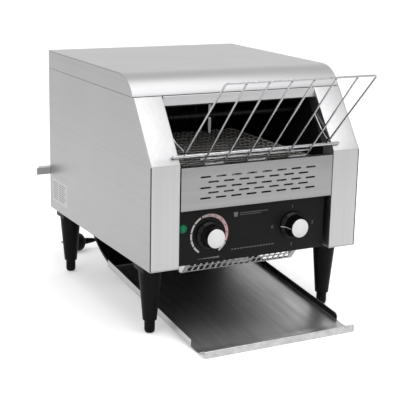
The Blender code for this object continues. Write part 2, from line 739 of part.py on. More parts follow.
def foot(name, x, y, plastic, root):
    """Levelling foot: a rounded pad on a stud that screws into the leg."""
    axis = empty(f"{name}_axis", (x, y, 0), root)
    stud, top = 0.0038, LEG_JOINT_Z - GAP
    profile = [(0, 0), (0.0055, 0), (0.0078, 0.0025), (0.0085, 0.006), (0.0085, top),
               (stud, top), (stud, LEG_JOINT_Z + 0.030), (0, LEG_JOINT_Z + 0.030)]
    return solid(name, turned(profile, 14), plastic, axis, smooth=True)


def feed_rack(chrome, root):
    """Welded wire rack: frame, rest rod, cross rod and three looped pairs of wires."""
    knee = Vector((0, ROD_Y - 0.0010, ROD_Z + 0.0046))
    stay = [(0.1335, 0.0570, 0.3252), (0.1310, 0.0300, 0.3020), (RACK_HALF, *knee.yz)]
    right = [Vector(p) for p in (*stay, (RACK_HALF, RACK_TOP_Y, RACK_TOP_Z))]
    left = [Vector((-p.x, p.y, p.z)) for p in right[::-1]]
    wire("rack_frame", filleted(right + left, 0.007, 4), WIRE_R, chrome, root)
    wire("rack_rod", [(-0.148, ROD_Y, ROD_Z), (0.148, ROD_Y, ROD_Z)], ROD_R, chrome, root)
    cross_y, cross_z = 0.0100, 0.2779
    wire("rack_cross_rod", [(-0.0986, cross_y, cross_z), (0.0986, cross_y, cross_z)], WIRE_R, chrome, root)
    # The loops pass in front of the rest rod, then the cross rod, and end just short of the top bar.
    low = Vector((0, 0.0140, 0.2685))
    top = Vector((0, RACK_TOP_Y, RACK_TOP_Z))
    top += (low - top).normalized() * (2 * WIRE_R + GAP)
    for name, x in (("left", -LOOP_PITCH), ("centre", 0.0), ("right", LOOP_PITCH)):
        down = [Vector((x - LOOP_PITCH / 4, y, z)) for y, z in (top.yz, low.yz)]
        up = [Vector((2 * x - p.x, p.y, p.z)) for p in down[::-1]]
        wire(f"rack_loop_{name}", filleted(down + up, 0.006, 3), WIRE_R, chrome, root)


# ---------------------------------------------------------------- supply cord


def cord_gland(rubber, root):
    """Tapered strain relief with a collar inside and outside the back plate."""
    out = [(0.0038, -0.006), (0.0085, -0.006), (0.0085, -SHEET - GAP), (0.0060, -SHEET - GAP),
           (0.0060, GAP), (0.0085, GAP), (0.0085, 0.003), (0.0062, 0.006), (0.0048, GLAND_REACH),
           (0.0038, GLAND_REACH)]
    mesh = turned(out, 12, ALONG_Y, GLAND, closed=True)
    solid("cord_gland", mesh, rubber, root, smooth=True)


def supply_cord(rubber, root):
    """The lead from the gland to the coil, the coil, and the lead from the coil to the plug."""
    ground = CORD_R + 0.0002
    start = GLAND + Vector((0, GLAND_REACH + GAP, 0))
    outer = COIL_MEAN_R + COIL_BUNDLE_R
    to_coil = [start, GLAND + Vector((0, 0.040, -0.0015)), GLAND + Vector((-0.002, 0.060, -0.014)),
               GLAND + Vector((-0.005, 0.078, -0.045)), GLAND + Vector((-0.008, 0.088, -0.085)),
               GLAND + Vector((-0.013, 0.098, -0.120)), Vector((0.1405, 0.5288, 0.0112)),
               Vector((0.138, 0.536, ground + 0.0022)), Vector((0.1325, 0.5425, ground + 0.0002)),
               Vector((0.124, 0.548, ground)), Vector((0.104, 0.5545, ground)),
               Vector((COIL.x + 0.028, COIL.y + COIL_MEAN_R + 0.0072, ground))]
    wire("power_cord", smooth_path(to_coil, 0.009), CORD_R, rubber, root)
    core = [(COIL_MEAN_R - COIL_BUNDLE_R, 0.0002), (outer, 0.0002), (outer, COIL_HIGH),
            (COIL_MEAN_R - COIL_BUNDLE_R, COIL_HIGH)]
    solid("cord_coil", turned(core, 24, place=COIL, closed=True), rubber, root, smooth=True)
    to_plug = [Vector((-0.0007, 0.5083, ground + 0.0035)), Vector((-0.005, 0.5053, ground + 0.0021)),
               Vector((-0.0122, 0.5023, ground + 0.0011)), Vector((-0.020, 0.5013, ground + 0.0015)),
               Vector((-0.034, 0.5003, ground + 0.0053)), Vector((-0.048, 0.4987, ground + 0.0105)),
               PLUG + Vector((PLUG_NECK + 0.010, -0.0002, -0.0006)), PLUG + Vector((PLUG_NECK + 0.005, 0, 0)),
               PLUG + Vector((PLUG_NECK + GAP, 0, 0))]
    wire("plug_lead", smooth_path(to_plug, 0.009), CORD_R, rubber, root)


def power_plug(rubber, root):
    """Round moulded plug lying on its side, with its two pins and a tapered neck."""
    profile = [(0, -0.0140), (0.0150, -0.0140), (0.0172, -0.0120), (0.0172, 0.0020), (0.0150, 0.0070),
               (0.0085, 0.0125), (0.0072, 0.0160), (0.0050, PLUG_NECK), (0, PLUG_NECK)]
    plug = solid("power_plug", turned(profile, 16, ALONG_X, PLUG), rubber, root, smooth=True)
    for side in (-1, 1):
        pin = [(0, -0.0330), (0.0024, -0.0325), (0.0024, -0.010), (0, -0.010)]
        join(plug, turned(pin, 8, ALONG_X, PLUG + Vector((0, side * 0.0095, 0))))


# ---------------------------------------------------------------- assembly


def build():
    clear_scene()
    root = empty("toaster_frame", (0, -MIDDLE_Y, 0))
    steel = finish("brushed_steel", 0xB8B8B8, 0.34, 1.0)
    panel_black = finish("black_panel", 0x212121, 0.45)
    inner_steel = finish("chamber_steel", 0x6E6C68, 0.42, 1.0)
    chrome = finish("chromed_wire", 0xCFCFCF, 0.16, 1.0)
    black_plastic = finish("black_plastic", 0x161616, 0.42)
    rubber = finish("black_rubber", 0x141414, 0.6)
    green = finish("green_lens", 0x00805A, 0.2)
    quartz = finish("frosted_quartz", 0xCFC8BC, 0.35)
    dark_steel = finish("dark_steel", 0x34322F, 0.5, 1.0)

    for name, side in (("left", -1), ("right", 1)):
        side_panel(f"{name}_side_panel", side, steel, root)
        front_pillar(f"{name}_front_pillar", side, steel, root)
        chamber_wall(f"{name}_chamber_wall", side, inner_steel, root)
    top_cover(steel, root)
    header_strip(steel, root)
    vent_panel(steel, root)
    control_panel(panel_black, root)
    base_frame(steel, root)
    rear_panel(steel, root)
    rear_spacer(steel, root)

    upper_reflector(inner_steel, root)
    control_bay_shell(inner_steel, root)
    lower_guard(steel, root)
    for level, places in (("upper", UPPER_HEATERS), ("lower", LOWER_HEATERS)):
        for end, place in places.items():
            heater(f"{level}_heater_{end}", place, quartz, root)
    heater_hanger(inner_steel, root)

    conveyor_belt(dark_steel, root)
    conveyor_drive(inner_steel, dark_steel, root)
    drive_chain(dark_steel, root)
    gear_motor(dark_steel, root)
    fan_housing(black_plastic, root)
    fan_rotor(black_plastic, root)

    control_parts(black_plastic, dark_steel, green, root)
    knob("speed_knob", SPEED_KNOB, black_plastic, steel, root)
    knob("mode_knob", MODE_KNOB, black_plastic, steel, root)

    toast_chute(dark_steel, root)
    toast_tray(steel, root)
    for end, y in LEG_Y.items():
        for name, side in (("left", -1), ("right", 1)):
            leg(f"{end}_{name}_leg", side * LEG_X, y, black_plastic, root)
            foot(f"{end}_{name}_foot", side * LEG_X, y, black_plastic, root)
    feed_rack(chrome, root)

    cord_gland(rubber, root)
    supply_cord(rubber, root)
    power_plug(rubber, root)


build()
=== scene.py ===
"""Looks of a countertop conveyor toaster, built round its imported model.

Each new piece is drawn in the cabinet's own frame, in metres: X runs across the machine, Y from the
front face to the back and Z up from the table. `settle` carries it to the shared frame, gives it
its finish and hangs it on the body that it belongs to.
"""

import json
import logging
import math
from collections.abc import Callable, Iterable, Sequence
from dataclasses import dataclass
from enum import Enum
from itertools import pairwise

import bpy
from mathutils import Matrix, Vector

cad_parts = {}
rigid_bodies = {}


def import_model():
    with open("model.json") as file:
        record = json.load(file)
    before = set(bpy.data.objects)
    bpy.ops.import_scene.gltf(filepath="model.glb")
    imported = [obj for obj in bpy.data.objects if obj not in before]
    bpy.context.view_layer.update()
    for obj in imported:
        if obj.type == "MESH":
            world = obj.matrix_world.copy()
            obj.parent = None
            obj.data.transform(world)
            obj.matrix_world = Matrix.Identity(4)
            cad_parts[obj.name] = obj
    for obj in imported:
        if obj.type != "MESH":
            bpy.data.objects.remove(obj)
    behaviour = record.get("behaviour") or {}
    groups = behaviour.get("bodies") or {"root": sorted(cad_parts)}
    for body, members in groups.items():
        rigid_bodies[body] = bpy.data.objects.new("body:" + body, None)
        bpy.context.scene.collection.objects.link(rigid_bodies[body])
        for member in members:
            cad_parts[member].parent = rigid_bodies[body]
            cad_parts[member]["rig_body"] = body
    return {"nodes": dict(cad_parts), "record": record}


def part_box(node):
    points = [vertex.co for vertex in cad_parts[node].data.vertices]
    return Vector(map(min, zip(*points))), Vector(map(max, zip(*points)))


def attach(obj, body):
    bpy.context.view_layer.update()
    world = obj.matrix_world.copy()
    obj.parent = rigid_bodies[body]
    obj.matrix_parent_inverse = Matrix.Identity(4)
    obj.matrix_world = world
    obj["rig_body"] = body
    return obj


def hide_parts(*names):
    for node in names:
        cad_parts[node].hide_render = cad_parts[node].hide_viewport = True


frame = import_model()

LOG = logging.getLogger("toaster")
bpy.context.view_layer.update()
FRONT_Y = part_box("vent_panel")[0].y
SHEET = 0.0012
GAP = 0.0003

Flat = tuple[float, float]
Piece = bpy.types.Object
Socket = bpy.types.NodeSocket
Sockets = dict[str | int, object] | Sequence[object]


# ------------------------------------------------------------------ places


@dataclass(frozen=True)
class Room:
    """The space that one CAD node takes, in the cabinet's own frame."""

    low: Vector
    high: Vector

    @classmethod
    def of(cls, node: str) -> "Room":
        """The room of a CAD node.

        Args:
            node: The node's name.

        Returns:
            Its lowest and highest corners.
        """
        low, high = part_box(node)
        shift = Vector((0, FRONT_Y, 0))
        return cls(low - shift, high - shift)

    @property
    def centre(self) -> Vector:
        """The middle of the room."""
        return (self.low + self.high) / 2


class Axis(Enum):
    """The axis that an outline runs along, after the two that it is drawn in."""

    X = ((0, 1, 0), (0, 0, 1), (1, 0, 0))
    Y = ((1, 0, 0), (0, 0, 1), (0, 1, 0))
    Z = ((1, 0, 0), (0, 1, 0), (0, 0, 1))

    def at(self, across: float, up: float, along: float) -> Vector:
        """A point from its two drawn coordinates and its place along the axis."""
        first, second, third = (Vector(v) for v in self.value)
        return first * across + second * up + third * along

    @property
    def heading(self) -> Vector:
        """The unit vector of the axis."""
        return Vector(self.value[2])


class Side(Enum):
    """Left or right as the machine is seen from its front."""

    LEFT = -1
    RIGHT = 1

    @property
    def word(self) -> str:
        """The side's name as the nodes spell it."""
        return self.name.lower()

    def span(self, inner: float, outer: float) -> Flat:
        """The stretch of X between two distances from the middle."""
        return tuple(sorted((self.value * inner, self.value * outer)))


# ------------------------------------------------------------------ outlines


def on_circle(centre: Flat, radius: float, degrees: float) -> Flat:
    """The point of a circle at an angle."""
    turn = math.radians(degrees)
    return centre[0] + radius * math.cos(turn), centre[1] + radius * math.sin(turn)


def arc(centre: Flat, radius: float, start: float, end: float, steps: int) -> list[Flat]:
    """Points along an arc, both ends included.

    Args:
        centre: The arc's centre.
        radius: Its radius.
        start: First angle, in degrees.
        end: Last angle, in degrees.
        steps: Number of equal steps.

    Returns:
        The points.
    """
    return [on_circle(centre, radius, start + (end - start) * i / steps) for i in range(steps + 1)]


def rounded(path: Sequence[Flat], radius: float, steps: int = 4) -> list[Flat]:
    """An open path whose inner corners are bent to a radius.

    Args:
        path: The path's corners.
        radius: Bend radius.
        steps: Steps in each bend.

    Returns:
        The path with an arc at each inner corner.
    """
    made = [path[0]]
    for before, here, after in zip(path, path[1:], path[2:]):
        corner, back, on = Vector(here), Vector(before) - Vector(here), Vector(after) - Vector(here)
        half = back.angle(on) / 2
        reach = min(radius / math.tan(half), back.length * 0.48, on.length * 0.48)
        radius_here = reach * math.tan(half)
        centre = corner + (back.normalized() + on.normalized()).normalized() * radius_here / math.sin(half)
        start, end = corner + back.normalized() * reach - centre, corner + on.normalized() * reach - centre
        first, last = math.degrees(math.atan2(start.y, start.x)), math.degrees(math.atan2(end.y, end.x))
        turn = (last - first + 180) % 360 - 180
        made += arc(tuple(centre), radius_here, first, first + turn, steps)
    return made + [path[-1]]


def offset(path: Sequence[Flat], distance: float) -> list[Flat]:
    """An open path moved sideways to its left, with mitred corners.

    Args:
        path: The path's corners.
        distance: How far it moves; below zero, to its right.

    Returns:
        The moved path.
    """
    moved = []
    for i, point in enumerate(path):
        sides = []
        for a, b in ((i - 1, i), (i, i + 1)):
            if a >= 0 and b < len(path):
                run = (Vector(path[b]) - Vector(path[a])).normalized()
                sides.append(Vector((-run.y, run.x)))
        normal = (sides[0] + sides[-1]).normalized()
        moved.append(tuple(Vector(point) + normal * distance / normal.dot(sides[0])))
    return moved


def sheet(path: Sequence[Flat], thickness: float = SHEET) -> list[Flat]:
    """The closed outline of a folded sheet whose one face follows a path."""
    return list(path) + offset(path, thickness)[::-1]


def stadium(centre: Flat, length: float, height: float, steps: int = 6) -> list[Flat]:
    """A slot with round ends.

    Args:
        centre: Its middle.
        length: Its whole length.
        height: Its height.
        steps: Steps in each round part.

    Returns:
        Its closed outline.
    """
    reach = (length - height) / 2
    right = arc((centre[0] + reach, centre[1]), height / 2, -90, 90, steps)
    return right + arc((centre[0] - reach, centre[1]), height / 2, 90, 270, steps)


def block(low: Flat, high: Flat, corner: float = 0.0, steps: int = 3) -> list[Flat]:
    """A rectangle, with its corners rounded if a radius is given.

    Args:
        low: Its lowest corner.
        high: Its highest corner.
        corner: Its corners' radius.
        steps: Steps in each round part.

    Returns:
        Its closed outline.
    """
    if not corner:
        return [low, (high[0], low[1]), high, (low[0], high[1])]
    places = ((high[0] - corner, low[1] + corner, -90), (high[0] - corner, high[1] - corner, 0),
              (low[0] + corner, high[1] - corner, 90), (low[0] + corner, low[1] + corner, 180))
    return [p for x, y, turn in places for p in arc((x, y), corner, turn, turn + 90, steps)]


# ------------------------------------------------------------------ modelling


def only(*pieces: Piece) -> None:
    """Makes these objects the selected ones, and the first the active one.

    Args:
        pieces: The pieces.
    """
    if bpy.context.mode != "OBJECT":
        bpy.ops.object.mode_set(mode="OBJECT")
    bpy.ops.object.select_all(action="DESELECT")
    for piece in pieces:
        piece.select_set(True)
    bpy.context.view_layer.objects.active = pieces[0]


def chain(name: str, points: Sequence[Vector]) -> Piece:
    """Draws an open run of edges by extruding one vertex, and stays in edit mode.

    Args:
        name: The new object's name.
        points: Places of the vertices, in order.

    Returns:
        The object, in edit mode, with all of it selected.
    """
    if bpy.context.mode != "OBJECT":
        bpy.ops.object.mode_set(mode="OBJECT")
    bpy.ops.object.select_all(action="DESELECT")
    bpy.ops.mesh.primitive_plane_add(size=0.01)
    piece = bpy.context.object
    piece.name = piece.data.name = name
    bpy.ops.object.mode_set(mode="EDIT")
    bpy.ops.mesh.select_mode(type="VERT")
    bpy.ops.mesh.select_all(action="SELECT")
    bpy.ops.mesh.merge(type="CENTER")
    bpy.ops.transform.translate(value=points[0])
    for here, there in pairwise(points):
        bpy.ops.mesh.extrude_vertices_move(TRANSFORM_OT_translate={"value": there - here})
    bpy.ops.mesh.select_all(action="SELECT")
    return piece


def prism(name: str, outline: Sequence[Flat], low: float, high: float, axis: Axis = Axis.X) -> Piece:
    """A straight solid of one outline.

    Args:
        name: The new object's name.
        outline: The closed outline, in the two axes that come before `axis`.
        low: Where it starts along the axis.
        high: Where it ends.
        axis: The axis that it runs along.

    Returns:
        The solid, in object mode.
    """
    piece = chain(name, [axis.at(a, b, low) for a, b in outline])
    bpy.ops.mesh.edge_face_add()
    bpy.ops.mesh.extrude_region_move(TRANSFORM_OT_translate={"value": axis.heading * (high - low)})
    bpy.ops.mesh.select_all(action="SELECT")
    bpy.ops.mesh.normals_make_consistent(inside=False)
    bpy.ops.object.mode_set(mode="OBJECT")
    return piece


def lathe(name: str, profile: Sequence[Flat], axis: Axis, centre: Flat = (0, 0), steps: int = 64,
          closed: bool = False) -> Piece:
    """A turned solid.

    Args:
        name: The new object's name.
        profile: Points of (radius, place along the axis).
        axis: The axis that it is turned about.
        centre: Where that axis stands, in the other two coordinates.
        steps: Sides of the circle.
        closed: Whether the profile is a ring of its own, clear of the axis.

    Returns:
        The solid, in object mode.
    """
    points = [axis.at(centre[0] + radius, centre[1], along) for radius, along in profile]
    piece = chain(name, points + points[:1] if closed else points)
    bpy.ops.mesh.spin(steps=steps, angle=math.tau, center=axis.at(*centre, 0), axis=axis.heading)
    bpy.ops.mesh.select_all(action="SELECT")
    bpy.ops.mesh.remove_doubles(threshold=1e-6)
    bpy.ops.mesh.normals_make_consistent(inside=False)
    bpy.ops.object.mode_set(mode="OBJECT")
    return piece


def rod(name: str, points: Sequence[Vector], radius: float, fillet: float = 0.0, resolution: int = 4,
        steps: int = 6) -> Piece:
    """A round wire along a path, bent to a fillet at its corners.

    Args:
        name: The new object's name.
        points: The corners of its centreline.
        radius: The wire's radius.
        fillet: How far from a corner the bend starts.
        resolution: Blender's bevel resolution: 4 gives twelve sides.
        steps: Steps in each bend.

    Returns:
        The wire as a mesh, in object mode.
    """
    chain(name, [Vector(p) for p in points])
    if fillet:
        bpy.ops.mesh.bevel(offset=fillet, segments=steps, affect="VERTICES")
    bpy.ops.object.mode_set(mode="OBJECT")
    bpy.ops.object.convert(target="CURVE")
    curve = bpy.context.object.data
    curve.bevel_depth = radius
    curve.bevel_resolution = resolution
    curve.use_fill_caps = True
    bpy.ops.object.convert(target="MESH")
    return bpy.context.object


def modify(piece: Piece, kind: str, **settings: object) -> None:
    """Adds a modifier to a piece and applies it.

    Args:
        piece: The piece.
        kind: Blender's name of the modifier.
        settings: Its settings.
    """
    only(piece)
    bpy.ops.object.modifier_add(type=kind)
    modifier = piece.modifiers[-1]
    for key, value in settings.items():
        setattr(modifier, key, value)
    bpy.ops.object.modifier_apply(modifier=modifier.name)


def carve(piece: Piece, *cutters: Piece, operation: str = "DIFFERENCE") -> Piece:
    """Cuts solids out of a piece, or joins them to it, and removes them.

    Args:
        piece: The piece.
        cutters: The solids.

    Returns:
        The piece.
    """
    for cutter in cutters:
        modify(piece, "BOOLEAN", operation=operation, solver="EXACT", object=cutter)
        bpy.data.objects.remove(cutter)
    return piece


def soften(piece: Piece, width: float = 0.00025, segments: int = 1, above: float = 40.0) -> Piece:
    """Breaks the sharp edges of a piece.

    Args:
        piece: The piece.
        width: The bevel's width.
        segments: Its segments.
        above: The least angle, in degrees, of an edge that is broken.

    Returns:
        The piece.
    """
    modify(piece, "BEVEL", width=width, segments=segments, limit_method="ANGLE",
           angle_limit=math.radians(above), use_clamp_overlap=True)
    return piece


def joined(pieces: Sequence[Piece], name: str) -> Piece:
    """Joins pieces into the first of them.

    Args:
        pieces: The pieces.
        name: The name that they take.

    Returns:
        The one piece.
    """
    only(*pieces)
    if len(pieces) > 1:
        bpy.ops.object.join()
    pieces[0].name = pieces[0].data.name = name
    return pieces[0]


def repeated(piece: Piece, moves: Iterable[Matrix]) -> Piece:
    """Copies a piece to each place, each copy with its own mesh, and joins them.

    Args:
        piece: The piece, at the origin of its moves. It isn't kept.
        moves: One matrix for each copy.

    Returns:
        The joined copies, under the piece's name.
    """
    name, copies = piece.name, []
    for move in moves:
        only(piece)
        bpy.ops.object.duplicate()
        copy = bpy.context.object
        copy.matrix_world = move
        bpy.ops.object.transform_apply(location=True, rotation=True, scale=True)
        copies.append(copy)
    bpy.data.objects.remove(piece)
    return joined(copies, name)


def shifted(points: Iterable[Sequence[float]]) -> list[Matrix]:
    """A move without a turn to each point."""
    return [Matrix.Translation(Vector(p)) for p in points]


def turned_to(piece: Piece, move: Matrix) -> Piece:
    """Moves a piece by a matrix and bakes the move into its mesh.

    Args:
        piece: The piece.
        move: The matrix.

    Returns:
        The piece.
    """
    only(piece)
    piece.matrix_world = move @ piece.matrix_world
    bpy.ops.object.transform_apply(location=True, rotation=True, scale=True)
    return piece


def smooth_route(points: Sequence[Vector], spacing: float) -> list[Vector]:
    """A Catmull-Rom curve through points, read off about every `spacing` metres.

    Args:
        points: The points.
        spacing: The distance wanted between points.

    Returns:
        The points of the curve.
    """
    ends = [points[0] * 2 - points[1], *points, points[-1] * 2 - points[-2]]
    made = []
    for a, b, c, d in zip(ends, ends[1:], ends[2:], ends[3:]):
        steps = max(2, round((c - b).length / spacing))
        for i in range(steps):
            t = i / steps
            made.append((b * 2 + (c - a) * t + (a * 2 - b * 5 + c * 4 - d) * t * t
                         + (b * 3 - a - c * 3 + d) * t ** 3) / 2)
    return made + [points[-1]]


# ------------------------------------------------------------------ finishes


def linear(code: str) -> tuple[float, float, float, float]:
    """An sRGB colour written as #rrggbb, as a linear colour with full alpha."""
    levels = [int(code[i:i + 2], 16) / 255 for i in (1, 3, 5)]
    return (*(v / 12.92 if v <= 0.04045 else ((v + 0.055) / 1.055) ** 2.4 for v in levels), 1.0)


@dataclass(frozen=True)
class Recipe:
    """A material while it is being made: its nodes, its shader and the coordinates of its patterns."""

    tree: bpy.types.NodeTree
    shader: bpy.types.Node
    place: Socket

    def feed(self, socket: Socket, value: object) -> None:
        """Links an input to an output, or sets the value that it holds.

        Args:
            socket: The input.
            value: The output or the value.
        """
        if isinstance(value, Socket):
            self.tree.links.new(value, socket)
        else:
            socket.default_value = value

    def add(self, kind: str, sockets: Sockets = (), output: str | int = 0, **settings: object) -> Socket:
        """Adds a node.

        Args:
            kind: Blender's name of the node, without ShaderNode.
            sockets: What its inputs are fed, in their order, or by their names or numbers.
            output: The output that is wanted.
            settings: The node's own settings.

        Returns:
            That output.
        """
        node = self.tree.nodes.new(f"ShaderNode{kind}")
        for key, value in settings.items():
            setattr(node, key, value)
        for key, value in sockets.items() if isinstance(sockets, dict) else enumerate(sockets):
            self.feed(node.inputs[key], value)
        return node.outputs[output]

    def shade(self, **sockets: object) -> None:
        """Feeds the shader's inputs, whose names have underscores for spaces."""
        for key, value in sockets.items():
            self.feed(self.shader.inputs[key.replace("_", " ")], value)


@dataclass(frozen=True)
class Finish:
    """A surface finish: what a piece is made of and how its surface was made."""

    name: str

    def material(self) -> bpy.types.Material:
        """The finish as a material, made when it is first asked for.

        Returns:
            The material.
        """
        made = bpy.data.materials.get(self.name)
        if made is None:
            made = bpy.data.materials.new(self.name)
            made.use_nodes = True
            nodes = made.node_tree.nodes
            place = nodes.new("ShaderNodeTexCoord").outputs["Object"]
            self.dress(Recipe(made.node_tree, nodes["Principled BSDF"], place))
        return made

    def dress(self, mix: Recipe) -> None:
        """Adds the pattern nodes and feeds the shader.

        Args:
            mix: The material being made.
        """
        raise NotImplementedError


@dataclass(frozen=True)
class BrushedSteel(Finish):
    """Stainless steel sheet with a belt-sanded grain.

    The grain scatters light across its run and keeps it along it. Real grain is about 0.1 mm
    wide; it is drawn several times coarser, so that it shows at the size of a whole machine.
    """

    grain: Axis = Axis.X
    tone: str = "#b4b4b5"
    shade: str = "#b0b0b1"
    smooth: float = 0.32
    dull: float = 0.38
    width_mm: float = 0.8
    length_mm: float = 90.0
    smudge_mm: float = 111.0
    relief: float = 0.05

    def dress(self, mix: Recipe) -> None:
        """Metal with streaks along the grain and broad, faint smudges.

        Args:
            mix: The material being made.
        """
        across, along = 1000 / self.width_mm, 1000 / self.length_mm
        scale = [along if v else across for v in self.grain.heading]
        lines = mix.add("Mapping", {"Vector": mix.place, "Scale": scale})
        fine = mix.add("TexNoise", {"Vector": lines, "Scale": 1.0, "Detail": 3.0})
        bands = mix.add("Mapping", {"Vector": mix.place, "Scale": [v * 0.16 for v in scale]})
        streak = mix.add("TexNoise", {"Vector": bands, "Scale": 1.0, "Detail": 2.0})
        smudge = mix.add("TexNoise", {"Vector": mix.place, "Scale": 1000 / self.smudge_mm, "Detail": 4.0})
        both = mix.add("Math", (streak, smudge), operation="MULTIPLY")
        share = mix.add("MapRange", (streak, 0.3, 0.7, 0.0, 1.0))
        tones = {0: share, 6: linear(self.tone), 7: linear(self.shade)}
        mix.shade(Base_Color=mix.add("Mix", tones, 2, data_type="RGBA"),
                  Roughness=mix.add("MapRange", (both, 0.12, 0.40, self.smooth, self.dull)),
                  Normal=mix.add("Bump", {"Height": fine, "Strength": self.relief, "Distance": 6e-5}),
                  Metallic=1.0)


@dataclass(frozen=True)
class HeatedSteel(Finish):
    """Dark steel sheet with scale and straw and blue patches; on the chamber, the reflector, the bay and the
    chute its dark tone is painted shade.
    """

    tone: str = "#3a3836"
    patch: str = "#2b2d33"
    rough: float = 0.48
    metallic: float = 0.8
    patch_mm: float = 45.0
    grit_mm: float = 0.9

    def dress(self, mix: Recipe) -> None:
        """Dark metal with slow colour patches, a grainy roughness and fine scale.

        Args:
            mix: The material being made.
        """
        cloud = mix.add("TexNoise", {"Vector": mix.place, "Scale": 1000 / self.patch_mm, "Detail": 5.0})
        grit = mix.add("TexNoise", {"Vector": mix.place, "Scale": 1000 / self.grit_mm, "Detail": 2.0})
        share = mix.add("MapRange", (cloud, 0.35, 0.65, 0.0, 1.0))
        tones = {0: share, 6: linear(self.tone), 7: linear(self.patch)}
        low, high = self.rough - 0.08, self.rough + 0.1
        mix.shade(Base_Color=mix.add("Mix", tones, 2, data_type="RGBA"),
                  Roughness=mix.add("MapRange", (grit, 0.3, 0.7, low, high)),
                  Normal=mix.add("Bump", {"Height": grit, "Strength": 0.2, "Distance": 8e-5}),
                  Metallic=self.metallic)


@dataclass(frozen=True)
class HeatTintedStrap(Finish):
    """Bright strap steel with painted shade that darkens it towards its far end, deep inside the chamber."""

    bright: str = "#c6c5c3"
    burnt: str = "#1b1a19"
    clean_mm: float = 180.0
    black_mm: float = 205.0
    cloud_mm: float = 8.3

    def dress(self, mix: Recipe) -> None:
        """Metal that darkens along Y, with a cloudy edge between the two.

        Args:
            mix: The material being made.
        """
        depth = mix.add("SeparateXYZ", (mix.place,), "Y")
        cloud = mix.add("TexNoise", {"Vector": mix.place, "Scale": 1000 / self.cloud_mm, "Detail": 3.0})
        edge = mix.add("MapRange", (cloud, 0.3, 0.7, -0.006, 0.006))
        wander = mix.add("Math", (depth, edge), operation="ADD")
        start, end = self.clean_mm / 1000 + FRONT_Y, self.black_mm / 1000 + FRONT_Y
        share = mix.add("MapRange", (wander, start, end, 0.0, 1.0))
        tones = {0: share, 6: linear(self.bright), 7: linear(self.burnt)}
        mix.shade(Base_Color=mix.add("Mix", tones, 2, data_type="RGBA"),
                  Roughness=mix.add("MapRange", (cloud, 0.3, 0.7, 0.38, 0.5)), Metallic=1.0)


@dataclass(frozen=True)
class ChromedWire(Finish):
    """Bright nickel-chrome plate on drawn wire, a little orange-peeled and water-spotted."""

    tone: str = "#b6b6b8"
    spotted: str = "#9c9c9e"
    smooth: float = 0.12
    dull: float = 0.26
    spot_mm: float = 3.85

    def dress(self, mix: Recipe) -> None:
        """Near-mirror metal whose gloss wanders every few millimetres.

        Args:
            mix: The material being made.
        """
        spots = mix.add("TexNoise", {"Vector": mix.place, "Scale": 1000 / self.spot_mm, "Detail": 3.0})
        share = mix.add("MapRange", (spots, 0.3, 0.7, 0.0, 1.0))
        tones = {0: share, 6: linear(self.tone), 7: linear(self.spotted)}
        mix.shade(Base_Color=mix.add("Mix", tones, 2, data_type="RGBA"),
                  Roughness=mix.add("MapRange", (spots, 0.3, 0.7, self.smooth, self.dull)), Metallic=1.0)


@dataclass(frozen=True)
class SpunAluminium(Finish):
    """Turned aluminium disc: fine rings round its centre that throw a fan of light."""

    centre: tuple[float, float, float] = (0.0, 0.0, 0.0)
    tone: str = "#cfcfd0"
    groove: str = "#c2c2c3"
    ring_mm: float = 0.22

    def dress(self, mix: Recipe) -> None:
        """Pale metal with concentric turning marks about the disc's own axis.

        Args:
            mix: The material being made.
        """
        middle = mix.add("Mapping", {"Vector": mix.place, "Location": [-v for v in self.centre]})
        waves = {"Vector": middle, "Scale": 50 / self.ring_mm, "Distortion": 0.4, "Detail": 1.0}
        rings = mix.add("TexWave", waves, "Fac", wave_type="RINGS", rings_direction="Y")
        tones = {0: rings, 6: linear(self.tone), 7: linear(self.groove)}
        mix.shade(Base_Color=mix.add("Mix", tones, 2, data_type="RGBA"),
                  Roughness=mix.add("MapRange", (rings, 0.0, 1.0, 0.30, 0.42)),
                  Normal=mix.add("Bump", {"Height": rings, "Strength": 0.15, "Distance": 3e-5}),
                  Tangent=mix.add("VectorMath", (middle, (0.0, 1.0, 0.0)), operation="CROSS_PRODUCT"),
                  Metallic=1.0, Anisotropic=0.75)


@dataclass(frozen=True)
class Moulding(Finish):
    """Moulded plastic or rubber: a dark body with the fine texture of its tool."""

    tone: str = "#141414"
    worn: str = "#1d1d1d"
    rough: float = 0.38
    grain_mm: float = 0.8
    patch_mm: float = 22.0
    relief: float = 0.15
    gloss: float = 0.22

    def dress(self, mix: Recipe) -> None:
        """A plain body colour that lightens in handled patches, over a spark-eroded grain.

        Args:
            mix: The material being made.
        """
        patch = mix.add("TexNoise", {"Vector": mix.place, "Scale": 1000 / self.patch_mm, "Detail": 4.0})
        grain = mix.add("TexNoise", {"Vector": mix.place, "Scale": 1000 / self.grain_mm, "Detail": 2.0})
        share = mix.add("MapRange", (patch, 0.3, 0.7, 0.0, 1.0))
        tones = {0: share, 6: linear(self.tone), 7: linear(self.worn)}
        low, high = self.rough - 0.05, self.rough + 0.07
        mix.shade(Base_Color=mix.add("Mix", tones, 2, data_type="RGBA"),
                  Roughness=mix.add("MapRange", (patch, 0.3, 0.7, low, high)),
                  Normal=mix.add("Bump", {"Height": grain, "Strength": self.relief, "Distance": 6e-5}),
                  Specular_IOR_Level=self.gloss)


